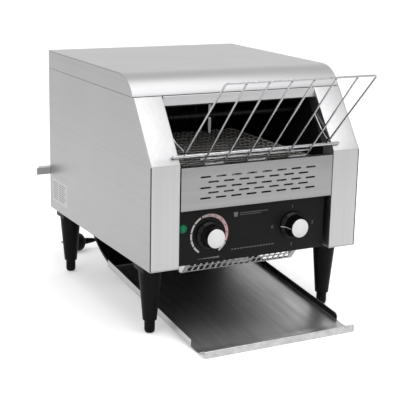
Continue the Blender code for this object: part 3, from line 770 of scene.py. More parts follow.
@dataclass(frozen=True)
class StoveEnamel(Finish):
    """Baked black enamel on sheet steel: a soft sheen over a slight orange peel."""

    tone: str = "#0f0f0f"
    faded: str = "#131313"
    peel_mm: float = 1.6
    wipe_mm: float = 33.0

    def dress(self, mix: Recipe) -> None:
        """Even black with a low, rolling relief and wiped patches.

        Args:
            mix: The material being made.
        """
        peel = mix.add("TexNoise", {"Vector": mix.place, "Scale": 1000 / self.peel_mm, "Detail": 2.0})
        wiped = mix.add("TexNoise", {"Vector": mix.place, "Scale": 1000 / self.wipe_mm, "Detail": 3.0})
        share = mix.add("MapRange", (wiped, 0.3, 0.7, 0.0, 1.0))
        tones = {0: share, 6: linear(self.tone), 7: linear(self.faded)}
        mix.shade(Base_Color=mix.add("Mix", tones, 2, data_type="RGBA"),
                  Roughness=mix.add("MapRange", (wiped, 0.3, 0.7, 0.42, 0.52)),
                  Normal=mix.add("Bump", {"Height": peel, "Strength": 0.12, "Distance": 1e-4}),
                  Specular_IOR_Level=0.10)


@dataclass(frozen=True)
class Ink(Finish):
    """Screen-printed ink, slightly uneven where the mesh of the screen held less."""

    tone: str = "#b0aeab"
    thin: str = "#989693"
    mesh_mm: float = 1.5

    def dress(self, mix: Recipe) -> None:
        """A matt colour that thins in small patches.

        Args:
            mix: The material being made.
        """
        patch = mix.add("TexNoise", {"Vector": mix.place, "Scale": 1000 / self.mesh_mm})
        share = mix.add("MapRange", (patch, 0.3, 0.7, 0.0, 1.0))
        tones = {0: share, 6: linear(self.tone), 7: linear(self.thin)}
        mix.shade(Base_Color=mix.add("Mix", tones, 2, data_type="RGBA"),
                  Roughness=mix.add("MapRange", (patch, 0.3, 0.7, 0.5, 0.62)))


@dataclass(frozen=True)
class HeatBandInk(Finish):
    """The dial's printed band, which runs from bare white to a warm rose as the setting rises."""

    centre: tuple[float, float, float] = (0.0, 0.0, 0.0)
    cool: str = "#8e8783"
    warm: str = "#b3868e"
    mesh_mm: float = 2.0

    def dress(self, mix: Recipe) -> None:
        """Two inks mixed by the angle round the dial.

        Args:
            mix: The material being made.
        """
        middle = mix.add("Mapping", {"Vector": mix.place, "Location": [-v for v in self.centre]})
        upright = mix.add("Mapping", {"Vector": middle, "Rotation": (math.radians(-90), 0, 0)})
        angle = mix.add("TexGradient", (upright,), "Fac", gradient_type="RADIAL")
        patch = mix.add("TexNoise", {"Vector": mix.place, "Scale": 1000 / self.mesh_mm})
        share = mix.add("MapRange", (angle, 0.45, 0.85, 1.0, 0.0))
        tones = {0: share, 6: linear(self.cool), 7: linear(self.warm)}
        mix.shade(Base_Color=mix.add("Mix", tones, 2, data_type="RGBA"),
                  Roughness=mix.add("MapRange", (patch, 0.3, 0.7, 0.5, 0.62)))


@dataclass(frozen=True)
class SignalLens(Finish):
    """Green polycarbonate lens over an unlit neon: saturated, glossy and a little deep."""

    tone: str = "#007a50"
    deep: str = "#004c32"
    facet_mm: float = 1.6

    def dress(self, mix: Recipe) -> None:
        """Clear green with the moulded prisms of its inner face.

        Args:
            mix: The material being made.
        """
        prisms = mix.add("TexVoronoi", {"Vector": mix.place, "Scale": 1000 / self.facet_mm}, "Distance")
        share = mix.add("MapRange", (prisms, 0.1, 0.9, 0.0, 1.0))
        tones = {0: share, 6: linear(self.tone), 7: linear(self.deep)}
        mix.shade(Base_Color=mix.add("Mix", tones, 2, data_type="RGBA"),
                  Normal=mix.add("Bump", {"Height": prisms, "Strength": 0.2, "Distance": 1e-4}),
                  Roughness=0.2, IOR=1.58, Specular_IOR_Level=0.2)


@dataclass(frozen=True)
class SmokedQuartz(Finish):
    """Quartz tube with the heating coil showing as a faint darker twist; its dark brown tone is painted shade
    inside the chamber.
    """

    tone: str = "#1b1918"
    coil: str = "#121110"
    pitch_mm: float = 3.0

    def dress(self, mix: Recipe) -> None:
        """Dark, satin glass with bands at the coil's pitch.

        Args:
            mix: The material being made.
        """
        waves = {"Vector": mix.place, "Scale": 50 / self.pitch_mm, "Distortion": 0.6}
        bands = mix.add("TexWave", waves, "Fac", wave_type="BANDS", bands_direction="X")
        share = mix.add("MapRange", (bands, 0.5, 1.0, 0.0, 1.0))
        tones = {0: share, 6: linear(self.tone), 7: linear(self.coil)}
        mix.shade(Base_Color=mix.add("Mix", tones, 2, data_type="RGBA"),
                  Roughness=mix.add("MapRange", (bands, 0.0, 1.0, 0.26, 0.36)),
                  IOR=1.46, Specular_IOR_Level=0.15)


@dataclass(frozen=True)
class StudioPaint(Finish):
    """Matt white translucent studio floor, lit a little from below, with a faint roller texture."""

    tone: str = "#f4f4f4"
    rolled: str = "#f2f2f2"
    roller_mm: float = 16.7
    glow: float = 0.22

    def dress(self, mix: Recipe) -> None:
        """Near-white, rough paint.

        Args:
            mix: The material being made.
        """
        roller = mix.add("TexNoise", {"Vector": mix.place, "Scale": 1000 / self.roller_mm, "Detail": 2.0})
        tones = {0: roller, 6: linear(self.tone), 7: linear(self.rolled)}
        mix.shade(Base_Color=mix.add("Mix", tones, 2, data_type="RGBA"), Roughness=0.9,
                  Specular_IOR_Level=0.1, Emission_Color=linear("#ffffff"), Emission_Strength=self.glow)


# Outer skins: stainless sheet, belt-sanded along the run that each sheet was sanded in.
# The side skins' tone, darker than the posts' and the face's, is painted shade of the sides.
PANEL_STEEL = BrushedSteel("brushed_panel_steel", Axis.Y, "#a0a0a1", "#9f9fa0", relief=0.02)
FACE_STEEL = BrushedSteel("brushed_face_steel", Axis.X)
VENT_STEEL = BrushedSteel("brushed_vent_steel", Axis.X, "#929293", "#8c8c8d", smooth=0.28)
GUARD_STEEL = BrushedSteel("satin_guard_steel", Axis.X, "#dededf", "#d8d8d9", smooth=0.50, dull=0.58)
POST_STEEL = BrushedSteel("brushed_post_steel", Axis.Z)
ROOF_STEEL = BrushedSteel("brushed_roof_steel", Axis.X, "#acacad", "#aaaaab", relief=0.02)
TRAY_STEEL = BrushedSteel("brushed_tray_steel", Axis.Y, "#c4c4c4", "#b2b2b2", smooth=0.34, dull=0.42,
                          width_mm=1.6, length_mm=120.0, relief=0.10)
BACK_STEEL = BrushedSteel("mill_back_steel", Axis.X, "#a9a9aa", "#a2a2a3", smooth=0.34, dull=0.46)
# Hot parts: dark, dull steel. On the chamber, the reflector, the bay and the chute the dark tone is painted
# shade, so that the mouth reads as a black hollow.
CHAMBER_STEEL = HeatedSteel("scaled_chamber_steel", "#1e1c1b", "#17181b", metallic=0.7)
CEILING_STEEL = HeatedSteel("tinted_reflector_steel", "#22201f", "#1b1a19", rough=0.42, metallic=0.85)
BAY_STEEL = HeatedSteel("dulled_bay_steel", "#1f1e1d", "#1a1918", rough=0.5)
CHUTE_STEEL = HeatedSteel("blackened_chute_steel", "#0d0d0d", "#0a0a0b", rough=0.5, metallic=0.5)
MACHINED_STEEL = HeatedSteel("oiled_machined_steel", "#6a6865", "#565452", rough=0.36, metallic=1.0)
BELT_STEEL = HeatedSteel("heat_dulled_belt_wire", "#a09e9a", "#7a7875", rough=0.22, metallic=1.0)
CHROME = ChromedWire("nickel_chromed_wire")
# Mouldings: black, told apart by their gloss, from the phenolic knobs to the rubbery sheath.
KNOB_PLASTIC = Moulding("glossy_phenolic", "#060606", "#080808", rough=0.16, relief=0.04, gloss=0.16)
LEG_PLASTIC = Moulding("satin_glass_nylon", "#070707", "#0b0b0b", grain_mm=0.9, gloss=0.08)
FAN_PLASTIC = Moulding("matt_black_polyester", "#141414", "#1b1b1b", rough=0.5)
CORD_RUBBER = Moulding("black_pvc_sheath", "#080808", "#0c0c0c", rough=0.46, grain_mm=0.7, gloss=0.10)
CERAMIC = Moulding("steatite_ceramic", "#8d8578", "#7c7467", rough=0.6, grain_mm=0.5, relief=0.2)
# Print: matt inks on the enamel and on the label's film.
ENAMEL = StoveEnamel("black_stove_enamel")
WHITE_INK = Ink("white_screen_ink")
GREY_INK = Ink("grey_screen_ink", "#5f605f", "#4b4c4b")
DARK_INK = Ink("dark_screen_ink", "#2a2020", "#332626")
LABEL_FILM = Ink("printed_label_film", "#b4b4b3", "#aeaeae")
LABEL_INK = Ink("label_print", "#6c6c6c", "#7a7a7a")
QUARTZ = SmokedQuartz("smoked_quartz_tube")
LENS = SignalLens("green_signal_lens")


# ------------------------------------------------------------------ settling


@dataclass(frozen=True)
class Record:
    """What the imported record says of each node: the body that carries it and its material slot."""

    slots: dict[str, str]

    @classmethod
    def read(cls) -> "Record":
        """Reads the slots from the frame's record."""
        return cls({row["node"]: row["material_slot"] for row in frame["record"]["subparts"]})

    def body(self, node: str) -> str:
        """The body that carries a node."""
        return frame["nodes"][node]["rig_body"]


RECORD = Record.read()


def settle(piece: Piece, finish: Finish, node: str, *more: str, stands_for: bool = True,
           smooth: float = 30.0, slot: str | None = None) -> Piece:
    """Finishes a piece: shades it, carries it to the shared frame, dresses it and hangs it up.

    Args:
        piece: The piece, drawn in the cabinet's own frame.
        finish: Its finish.
        node: The CAD node that it stands for, or belongs with.
        more: Other nodes that it stands for.
        stands_for: Whether it replaces those nodes.
        smooth: Edges flatter than this angle, in degrees, are shaded smooth.
        slot: The material slot, if it isn't the node's own. Not used.

    Returns:
        The piece.
    """
    turned_to(piece, Matrix.Translation((0, FRONT_Y, 0)))
    bpy.ops.object.shade_smooth_by_angle(angle=math.radians(smooth))
    piece.data.materials.clear()
    piece.data.materials.append(finish.material())
    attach(piece, RECORD.body(node))
    if stands_for:
        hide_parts(node, *more)
    LOG.info("%s: %d faces on %s", piece.name, len(piece.data.polygons), RECORD.body(node))
    return piece


# ------------------------------------------------------------------ studio


@dataclass
class Studio:
    """Pale floor, soft lights and the camera."""

    eye: Vector = Vector((-0.83296, -1.53749, 0.61551))
    yaw: float = 27.999
    pitch: float = 14.327
    roll: float = 1.223
    lens: float = 96.8
    floor_size: float = 60.0
    sky: float = 1.0
    middle: Vector = Vector((0, 0, 0.25))

    def camera(self) -> None:
        """Places the camera by its yaw, its pitch downwards and its roll."""
        yaw, pitch, roll = (math.radians(v) for v in (self.yaw, self.pitch, self.roll))
        ahead = Vector((math.sin(yaw) * math.cos(pitch), math.cos(yaw) * math.cos(pitch), -math.sin(pitch)))
        across = Vector((math.cos(yaw), -math.sin(yaw), 0))
        up = across.cross(ahead)
        right = across * math.cos(roll) + up * math.sin(roll)
        upright = up * math.cos(roll) - across * math.sin(roll)
        bpy.ops.object.camera_add(location=self.eye)
        camera = bpy.context.object
        turn = Matrix((right, upright, -ahead)).transposed().to_4x4()
        camera.matrix_world = Matrix.Translation(self.eye) @ turn
        camera.data.lens = self.lens
        camera.data.sensor_width = 36.0
        camera.data.clip_start, camera.data.clip_end = 0.05, 50.0
        bpy.context.scene.camera = camera

    def floor(self) -> None:
        """A wide plane just under the feet."""
        bpy.ops.mesh.primitive_plane_add(size=self.floor_size, location=(0, 0, -0.0004))
        bpy.ops.object.transform_apply(location=True)
        floor = bpy.context.object
        floor.name = "studio_floor"
        floor.data.materials.append(StudioPaint("matt_floor_paint").material())

    def softbox(self, name: str, place: Sequence[float], size: Flat, power: float) -> None:
        """A rectangular area light, turned towards the machine.

        Args:
            name: The light's name.
            place: Where it hangs.
            size: Its width and height.
            power: Its power in watts.
        """
        bpy.ops.object.light_add(type="AREA", location=place)
        light = bpy.context.object
        light.name = name
        light.data.shape = "RECTANGLE"
        light.data.size, light.data.size_y = size
        light.data.energy = power
        light.rotation_mode = "QUATERNION"
        light.rotation_quaternion = (self.middle - Vector(place)).to_track_quat("-Z", "Y")

    def lights(self) -> None:
        """An even sky and three softboxes: over the front, at the left and behind."""
        world = bpy.data.worlds.new("studio_sky")
        bpy.context.scene.world = world
        world.use_nodes = True
        sky = world.node_tree.nodes["Background"]
        sky.inputs["Color"].default_value = linear("#fafafa")
        sky.inputs["Strength"].default_value = self.sky
        self.softbox("overhead_softbox", (0.30, -1.00, 2.60), (2.4, 2.6), 36)
        self.softbox("left_softbox", (-2.2, -1.2, 1.6), (1.2, 1.6), 9.5)
        self.softbox("back_softbox", (0.8, 2.6, 1.7), (3.0, 1.2), 2)
        bpy.context.scene.view_settings.view_transform = "Standard"

    def build(self) -> None:
        """Sets up the whole studio."""
        self.camera()
        self.floor()
        self.lights()


# ------------------------------------------------------------------ supply cord


@dataclass
class SupplyCord:
    """Rubber lead from the back plate to its plug, with the spare length wound in a round coil."""

    length: float = 1.8
    radius: float = 0.0035
    gland: Vector = Vector((0.155, 0.425, 0.140))
    reach: float = 0.030
    coil: Vector = Vector((0.052, 0.512, 0.0))
    inner_turn: float = 0.0305
    turns_across: int = 3
    points_per_turn: int = 36
    plug: Vector = Vector((-0.101, 0.4975, 0.0174))
    neck: float = 0.030

    def lead_in(self) -> list[Vector]:
        """The route from the gland down to the table and on to the coil.

        Returns:
            Its points.
        """
        ground = self.radius + 0.0002
        return [
            self.gland + Vector((0, self.reach + GAP, 0)), self.gland + Vector((0, 0.040, -0.0015)),
            self.gland + Vector((-0.002, 0.060, -0.014)), self.gland + Vector((-0.005, 0.078, -0.045)),
            self.gland + Vector((-0.008, 0.088, -0.085)), self.gland + Vector((-0.013, 0.098, -0.120)),
            Vector((0.1405, 0.5288, 0.0112)), Vector((0.138, 0.536, ground + 0.0022)),
            Vector((0.1325, 0.5425, ground + 0.0002)), Vector((0.124, 0.548, ground)),
            Vector((0.104, 0.5545, ground)),
            self.coil + Vector((0.028, 0.0447, ground)),
        ]

    def windings(self) -> list[Vector]:
        """The coil: a flat spiral inwards on the table and one outwards on top of it.

        Returns:
            Its points.
        """
        across, layer = 2 * self.radius, 2 * self.radius
        outer = self.inner_turn + across * (self.turns_across - 1)
        ground = self.radius + 0.0002
        start, inward = math.radians(104), math.tau * (self.turns_across - 0.18)
        rise, outward = math.tau * 0.30, math.tau * (self.turns_across - 0.21)
        points = []

        def turn(angle: float, radius: float, height: float) -> None:
            """Adds one point of the coil."""
            points.append(self.coil + Vector((radius * math.cos(angle), radius * math.sin(angle), height)))

        step = math.tau / self.points_per_turn
        for i in range(round(inward / step)):
            turn(start + i * step, outer - (outer - self.inner_turn) * i * step / inward, ground)
        for i in range(round(rise / step)):
            share = i * step / rise
            ease = share * share * (3 - 2 * share)
            turn(start + inward + i * step, self.inner_turn, ground + layer * ease)
        last = round(outward / step)
        for i in range(last):
            share = i / last
            turn(start + inward + rise + i * step, self.inner_turn + (outer - self.inner_turn) * share,
                 ground + layer)
        return points

    def lead_out(self) -> list[Vector]:
        """The route from the coil's top turn, touching the table, up into the plug's neck.

        Returns:
            Its points.
        """
        ground = self.radius + 0.0002
        return [
            Vector((-0.0007, 0.5083, ground + 0.0035)), Vector((-0.005, 0.5053, ground + 0.0021)),
            Vector((-0.0122, 0.5023, ground + 0.0011)), Vector((-0.020, 0.5013, ground + 0.0015)),
            Vector((-0.034, 0.5003, ground + 0.0053)), Vector((-0.048, 0.4987, ground + 0.0105)),
            self.plug + Vector((self.neck + 0.010, -0.0002, -0.0006)),
            self.plug + Vector((self.neck + 0.005, 0, 0)), self.plug + Vector((self.neck + GAP, 0, 0)),
        ]

    def sheath(self) -> Piece:
        """The cord itself: one open curve.

        Returns:
            The finished piece.
        """
        coil_end = self.coil + Vector((-0.0428, 0.0125, 3 * self.radius + 0.0002))
        past_end = Vector((0.0046, 0.5150, 3 * self.radius - 0.0012))
        route = [*self.lead_in(), *self.windings(), coil_end, past_end, *self.lead_out()]
        points = smooth_route([p + Vector((0, FRONT_Y, 0)) for p in route], 0.004)
        curve = bpy.data.curves.new("supply_cord", "CURVE")
        curve.dimensions = "3D"
        curve.bevel_depth = self.radius
        curve.bevel_resolution = 4
        curve.use_fill_caps = True
        spline = curve.splines.new("POLY")
        spline.points.add(len(points) - 1)
        for point, place in zip(spline.points, points):
            point.co = (*place, 1.0)
        curve.materials.append(CORD_RUBBER.material())
        piece = bpy.data.objects.new("supply_cord", curve)
        bpy.context.scene.collection.objects.link(piece)
        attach(piece, RECORD.body("power_cord"))
        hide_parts("power_cord", "cord_coil", "plug_lead")
        run = sum((b - a).length for a, b in pairwise(points))
        LOG.info("supply_cord: %.3f m along its centreline", run)
        return piece

    def strain_relief(self) -> Piece:
        """Tapered gland with flex ribs, and its collar on the back plate.

        Returns:
            The finished piece.
        """
        bore, tip = self.radius + 0.0003, self.reach
        ribs = []
        first, count = 0.0085, 6
        pitch = (tip - 0.0025 - first) / count
        for i in range(count):
            at = first + pitch * i
            radius = 0.0063 - 0.0012 * i / count
            ribs += [(radius, at), (radius, at + pitch * 0.55), (radius - 0.0007, at + pitch * 0.62),
                     (radius - 0.0007, at + pitch * 0.93)]
        profile = [(bore, -0.006), (0.0080, -0.006), (0.0085, -0.0055), (0.0085, -SHEET - GAP),
                   (0.0060, -SHEET - GAP), (0.0060, GAP), (0.0085, GAP), (0.0088, 0.0008), (0.0088, 0.0026),
                   (0.0080, 0.0036), (0.0064, 0.0042), (0.0062, 0.0075), *ribs, (0.0052, tip - 0.0025),
                   (0.0050, tip - 0.0005), (0.0046, tip), (bore, tip)]
        placed = [(radius, along + self.gland.y) for radius, along in profile]
        gland = lathe("cord_strain_relief", placed, Axis.Y, (self.gland.x, self.gland.z), 32, closed=True)
        return settle(gland, CORD_RUBBER, "cord_gland")

    def mains_plug(self) -> Piece:
        """Round moulded plug on its side, with a grip waist and a ribbed neck.

        Returns:
            The finished piece.
        """
        x = self.plug.x
        neck = []
        for i in range(4):
            at = x + 0.0140 + 0.0036 * i
            neck += [(0.0060 - 0.0004 * i, at), (0.0060 - 0.0004 * i, at + 0.0019),
                     (0.0050 - 0.0003 * i, at + 0.0024), (0.0050 - 0.0003 * i, at + 0.0034)]
        profile = [(0, x - 0.0138), (0.0148, x - 0.0138), (0.0160, x - 0.0134), (0.0170, x - 0.0122),
                   (0.0172, x - 0.0105), (0.0172, x - 0.0010), (0.0167, x + 0.0022), (0.0152, x + 0.0052),
                   (0.0128, x + 0.0076), (0.0098, x + 0.0094), (0.0074, x + 0.0106), (0.0062, x + 0.0122),
                   *neck, (0.0043, x + 0.0292), (0.0041, x + self.neck), (0, x + self.neck)]
        plug = lathe("mains_plug", profile, Axis.X, (self.plug.y, self.plug.z), 48)
        recess = [(0.0150, -0.0142), (0.0144, -0.0142), (0.0144, -0.0133), (0.0150, -0.0133)]
        ring = [(r - 0.0020, x + a) for r, a in recess]
        groove = lathe("groove", ring, Axis.X, (self.plug.y, self.plug.z), 48, closed=True)
        carve(plug, groove)
        return settle(plug, CORD_RUBBER, "power_plug")

    def plug_pins(self) -> Piece:
        """Two round nickel-plated pins with their sleeved roots.

        Returns:
            The finished piece.
        """
        pins = []
        for side in (-1, 1):
            profile = [(0, -0.0330), (0.0014, -0.0330), (0.0021, -0.0324), (0.0024, -0.0312),
                       (0.0024, -0.0220), (0.0024, -0.0139), (0, -0.0139)]
            pins.append(lathe(f"plug_pin_{side}", [(r, self.plug.x + a) for r, a in profile], Axis.X,
                              (self.plug.y + side * 0.0095, self.plug.z), 20))
        return settle(joined(pins, "plug_pins"), CHROME, "power_plug", stands_for=False, slot="chromed_wire")

    def tie(self) -> Piece:
        """Narrow strap round the coil's bundle, on the side away from the plug.

        Returns:
            The finished piece.
        """
        middle = self.inner_turn + 2 * self.radius * (self.turns_across - 1) / 2
        half, high = 0.0121, 4 * self.radius + 0.0010
        angle = math.radians(-50)
        ring = [*block((middle - half, 0.00005), (middle + half, high), 0.0022)]
        inner = block((middle - half + 0.0008, 0.0001), (middle + half - 0.0008, high - 0.0007), 0.0018)
        strap = prism("coil_tie", ring, -0.0045, 0.0045, Axis.Y)
        carve(strap, prism("inside", inner, -0.006, 0.006, Axis.Y))
        turned_to(strap, Matrix.Translation(self.coil) @ Matrix.Rotation(angle, 4, "Z"))
        return settle(soften(strap), FAN_PLASTIC, "cord_coil", stands_for=False)

    def build(self) -> None:
        """Makes the cord and what is on it."""
        cord = self.sheath()
        on_it = [self.mains_plug(), self.plug_pins(), self.strain_relief(), self.tie()]


# ------------------------------------------------------------------ cabinet


@dataclass
class Cabinet:
    """The stainless casing: skins, roof, front posts, sill, back plate and spacer bar."""

    knee: float = 0.2742
    brow_y: float = 0.0650
    crown_y: float = 0.1149
    bend: float = 0.0016
    plate_low: Flat = (0.3400, 0.1300)
    plate_high: Flat = (0.4130, 0.1712)

    def __post_init__(self) -> None:
        """Reads the casing's size from the frame."""
        side, roof = Room.of("left_side_panel"), Room.of("top_cover")
        self.half = -side.low.x
        self.depth = side.high.y
        self.underside = side.low.z
        self.height = roof.high.z
        self.brow_z = roof.low.z
        self.post_inner = -Room.of("left_front_pillar").high.x

    def slant(self, height: float) -> float:
        """Y of the posts' front face at a height."""
        return max(0.0, (height - self.knee) * self.brow_y / (self.brow_z - self.knee))

    def crown(self, inset: float, steps: int = 20) -> list[Flat]:
        """The roof's curved front from the brow to the crown, moved inwards.

        Args:
            inset: How far inwards, from the skin.
            steps: Steps in each round part.

        Returns:
            Its points, front to back.
        """
        run, rise = self.crown_y - self.brow_y, self.height - self.brow_z
        radius = (run * run + rise * rise) / (2 * rise)
        start = 180 - math.degrees(math.acos(run / radius))
        return arc((self.crown_y, self.height - radius), radius - inset, start, 90, steps)

    def side_panel(self, side: Side) -> Piece:
        """Flat skin with the slanted front corner and a broken edge.

        Args:
            side: The side it stands on.

        Returns:
            The finished piece.
        """
        top = self.brow_z - GAP
        outline = [(0, self.underside), (self.depth, self.underside), (self.depth, top),
                   (self.slant(top), top), (0, self.knee)]
        skin = prism(f"{side.word}_skin", outline, *side.span(self.half - 0.001, self.half))
        return settle(soften(skin), PANEL_STEEL, f"{side.word}_side_panel")

    def roof(self) -> None:
        """Roof sheet with its curved brow and folded hem, and the two skirts under its edges."""
        hem = [(self.brow_y + 0.009, self.brow_z + SHEET), (self.brow_y + 0.0004, self.brow_z + SHEET * 0.4)]
        path = [*hem, *self.crown(0.0)[1:], (self.depth, self.height)]
        top = prism("roof_sheet", sheet(path, -SHEET), -self.half, self.half)
        settle(soften(top, 0.0002), ROOF_STEEL, "top_cover")
        inset = SHEET + 0.0004
        skirt = [(self.depth, self.height - inset), (self.depth, self.brow_z),
                 (self.brow_y + inset, self.brow_z), *self.crown(inset)[1:]]
        for side in Side:
            span = side.span(self.half - 0.0014, self.half - 0.0002)
            plate = prism(f"{side.word}_roof_skirt", skirt, *span)
            settle(soften(plate, 0.0002), PANEL_STEEL, "top_cover", stands_for=False)

    def post(self, side: Side) -> Piece:
        """Front post: one folded channel with an upright face, a slanted face and an inner return.

        Args:
            side: The side it stands on.

        Returns:
            The finished piece.
        """
        low, top, back = self.underside + SHEET + GAP, self.brow_z - GAP, 0.030
        face = rounded([(0, low), (0, self.knee), (self.slant(top), top)], 0.0024, 3)
        outline = [*face, (self.slant(top) + back, top), (back, self.knee), (back, low)]
        inner, outer = self.post_inner, self.half - 0.001 - GAP
        post = prism(f"{side.word}_post", outline, *side.span(inner, outer))
        self.bend_edges(post, side.value * inner, face)
        inside = offset(face, -SHEET)
        inside[0] = (inside[0][0], low - 0.01)
        inside[-1] = (self.slant(top + 0.01) + SHEET * 1.3, top + 0.01)
        hollow = [*inside, (back + 0.08, top + 0.01), (back + 0.08, low - 0.01)]
        carve(post, prism("hollow", hollow, *side.span(inner + SHEET, outer + 0.01)))
        return settle(soften(post, 0.0002), POST_STEEL, f"{side.word}_front_pillar")

    def bend_edges(self, post: Piece, x: float, face: Sequence[Flat]) -> None:
        """Rolls the long edge between a post's face and its return to the sheet's bend radius.

        Args:
            post: The post.
            x: Where the return stands.
            face: The face's side outline.
        """
        on_face = {(round(y, 5), round(z, 5)) for y, z in face}

        def is_corner(vertex: bpy.types.MeshVertex) -> bool:
            """Whether a vertex lies on that edge."""
            return abs(vertex.co.x - x) < 1e-5 and (round(vertex.co.y, 5), round(vertex.co.z, 5)) in on_face

        self.select_edges(post, is_corner)
        bpy.ops.mesh.bevel(offset=self.bend, segments=4, affect="EDGES")
        bpy.ops.object.mode_set(mode="OBJECT")

    @staticmethod
    def select_edges(piece: Piece, wanted: Callable[[bpy.types.MeshVertex], bool]) -> None:
        """Selects the edges whose two vertices are wanted, and stays in edit mode.

        Args:
            piece: The piece.
            wanted: Says whether a vertex is wanted.
        """
        only(piece)
        bpy.ops.object.mode_set(mode="EDIT")
        bpy.ops.mesh.select_all(action="DESELECT")
        bpy.ops.mesh.select_mode(type="EDGE")
        bpy.ops.object.mode_set(mode="OBJECT")
        for edge in piece.data.edges:
            edge.select = all(wanted(piece.data.vertices[i]) for i in edge.vertices)
        bpy.ops.object.mode_set(mode="EDIT")

    def corner_seal(self, side: Side) -> Piece:
        """Dark strip in the joint between a post and its skin, up to the knee: painted shadow of the gap
        there.

        Args:
            side: The side it stands on.

        Returns:
            The finished piece.
        """
        joint = block((-0.00012, self.underside + 0.0006), (0.0009, self.knee - 0.0006))
        shadow_strip = prism(f"{side.word}_corner_seal", joint, *side.span(self.half - 0.0011, self.half + 0.00012))
        # The strip's black is painted shadow in the seam between post and skin.
        return settle(shadow_strip, FAN_PLASTIC, f"{side.word}_side_panel", stands_for=False, slot="black_plastic")

    def sill(self) -> Piece:
        """Header strip under the roof's front edge.

        Returns:
            The finished piece.
        """
        room = Room.of("header_strip")
        front, low, high = room.low.y, room.low.z, room.high.z
        path = rounded([(front, low), (front, high), (room.high.y, high)], 0.0016)
        folded = sheet(rounded([(front + 0.006, low), *path], 0.0014, 3), -SHEET)
        strip = prism("header_sill", folded, room.low.x, room.high.x)
        return settle(soften(strip, 0.0002), FACE_STEEL, "header_strip")

    def back_plate(self) -> None:
        """Back plate with its vents and gland hole, and the screws round its edge."""
        room = Room.of("rear_panel")
        plate = prism("back_plate", block((room.low.x, room.low.z), (room.high.x, room.high.z), 0.002),
                      room.low.y, room.high.y, Axis.Y)
        slots = [prism("vent", stadium((side.value * 0.159, 0.230 + 0.012 * i), 0.030, 0.005),
                       room.low.y - 0.01, room.high.y + 0.01, Axis.Y) for side in Side for i in range(6)]
        drill = block((0, room.low.y - 0.01), (0.0066, room.high.y + 0.01))
        gland = lathe("hole", drill, Axis.Y, (0.155, 0.140), 32)
        carve(plate, joined(slots, "vents"), gland)
        settle(soften(plate, 0.0002), BACK_STEEL, "rear_panel")
        xs, zs = (-0.172, -0.060, 0.060, 0.172), (0.126, 0.386)
        heads = [(x, self.depth, z) for x in xs for z in zs]
        heads += [(x, self.depth, 0.300) for x in (-0.172, 0.172)]
        self.screws("back_screws", heads, "rear_panel")

    def screws(self, name: str, places: Sequence[Sequence[float]], node: str) -> Piece:
        """Cross-recessed pan-head screws that face backwards.

        Args:
            name: The group's name.
            places: Where each head sits on its sheet.
            node: The node that they hold down.

        Returns:
            The heads as one piece.
        """
        profile = [(0, 0.0022), (0.0012, 0.00215), (0.0024, 0.0018), (0.0032, 0.0011), (0.0034, 0.0004),
                   (0.0034, 0.0001), (0, 0.0001)]
        head = lathe(name, profile, Axis.Y, steps=24)
        arms = [prism("arm", block((-x, -z), (x, z)), 0.0009, 0.003, Axis.Y)
                for x, z in ((0.0019, 0.0004), (0.0004, 0.0019))]
        carve(head, *arms)
        return settle(repeated(head, shifted(places)), MACHINED_STEEL, node, stands_for=False)

    def spacer(self) -> Piece:
        """Angle bar across the back, with cut corners, screwed to the back plate.

        Returns:
            The finished piece.
        """
        room = Room.of("rear_spacer")
        corner = 0.010
        flange = [(room.low.x, room.low.y), (room.high.x, room.low.y), (room.high.x - corner, room.high.y),
                  (room.low.x + corner, room.high.y)]
        bar = prism("wall_spacer", flange, room.high.z - SHEET, room.high.z, Axis.Z)
        web = prism("web", block((room.low.x, room.low.z), (room.high.x, room.high.z)), room.low.y,
                    room.low.y + SHEET, Axis.Y)
        carve(bar, web, operation="UNION")
        heads = [(x, room.low.y + SHEET, room.low.z + 0.0055) for x in (-0.150, -0.050, 0.050, 0.150)]
        self.screws("spacer_screws", heads, "rear_spacer")
        return settle(soften(bar, 0.0002), FACE_STEEL, "rear_spacer")

    def data_plate(self) -> None:
        """Plain rating label on the left skin, with lines in place of its print."""
        low, high = self.plate_low, self.plate_high
        skin = -self.half
        film = prism("data_label", block(low, high, 0.002), skin - 0.00012, skin - 0.00001)
        settle(film, LABEL_FILM, "left_side_panel", stands_for=False)
        lines = []
        rows = 9
        for i in range(rows):
            z = high[1] - 0.006 - i * (high[1] - low[1] - 0.012) / (rows - 1)
            for start, share in ((0.06, 0.30), (0.44, 0.46 - 0.05 * (i % 3))):
                first = high[0] - (high[0] - low[0]) * start
                last = first - (high[0] - low[0]) * share
                lines.append(prism("line", block((last, z - 0.0006), (first, z + 0.0006)),
                                   skin - 0.00020, skin - 0.00013))
        settle(joined(lines, "data_label_lines"), LABEL_INK, "left_side_panel", stands_for=False)

    def build(self) -> None:
        """Makes the whole casing."""
        for side in Side:
            self.side_panel(side)
            self.post(side)
            self.corner_seal(side)
        self.roof()
        self.sill()
        self.back_plate()
        self.spacer()
        self.data_plate()


# ------------------------------------------------------------------ front panels


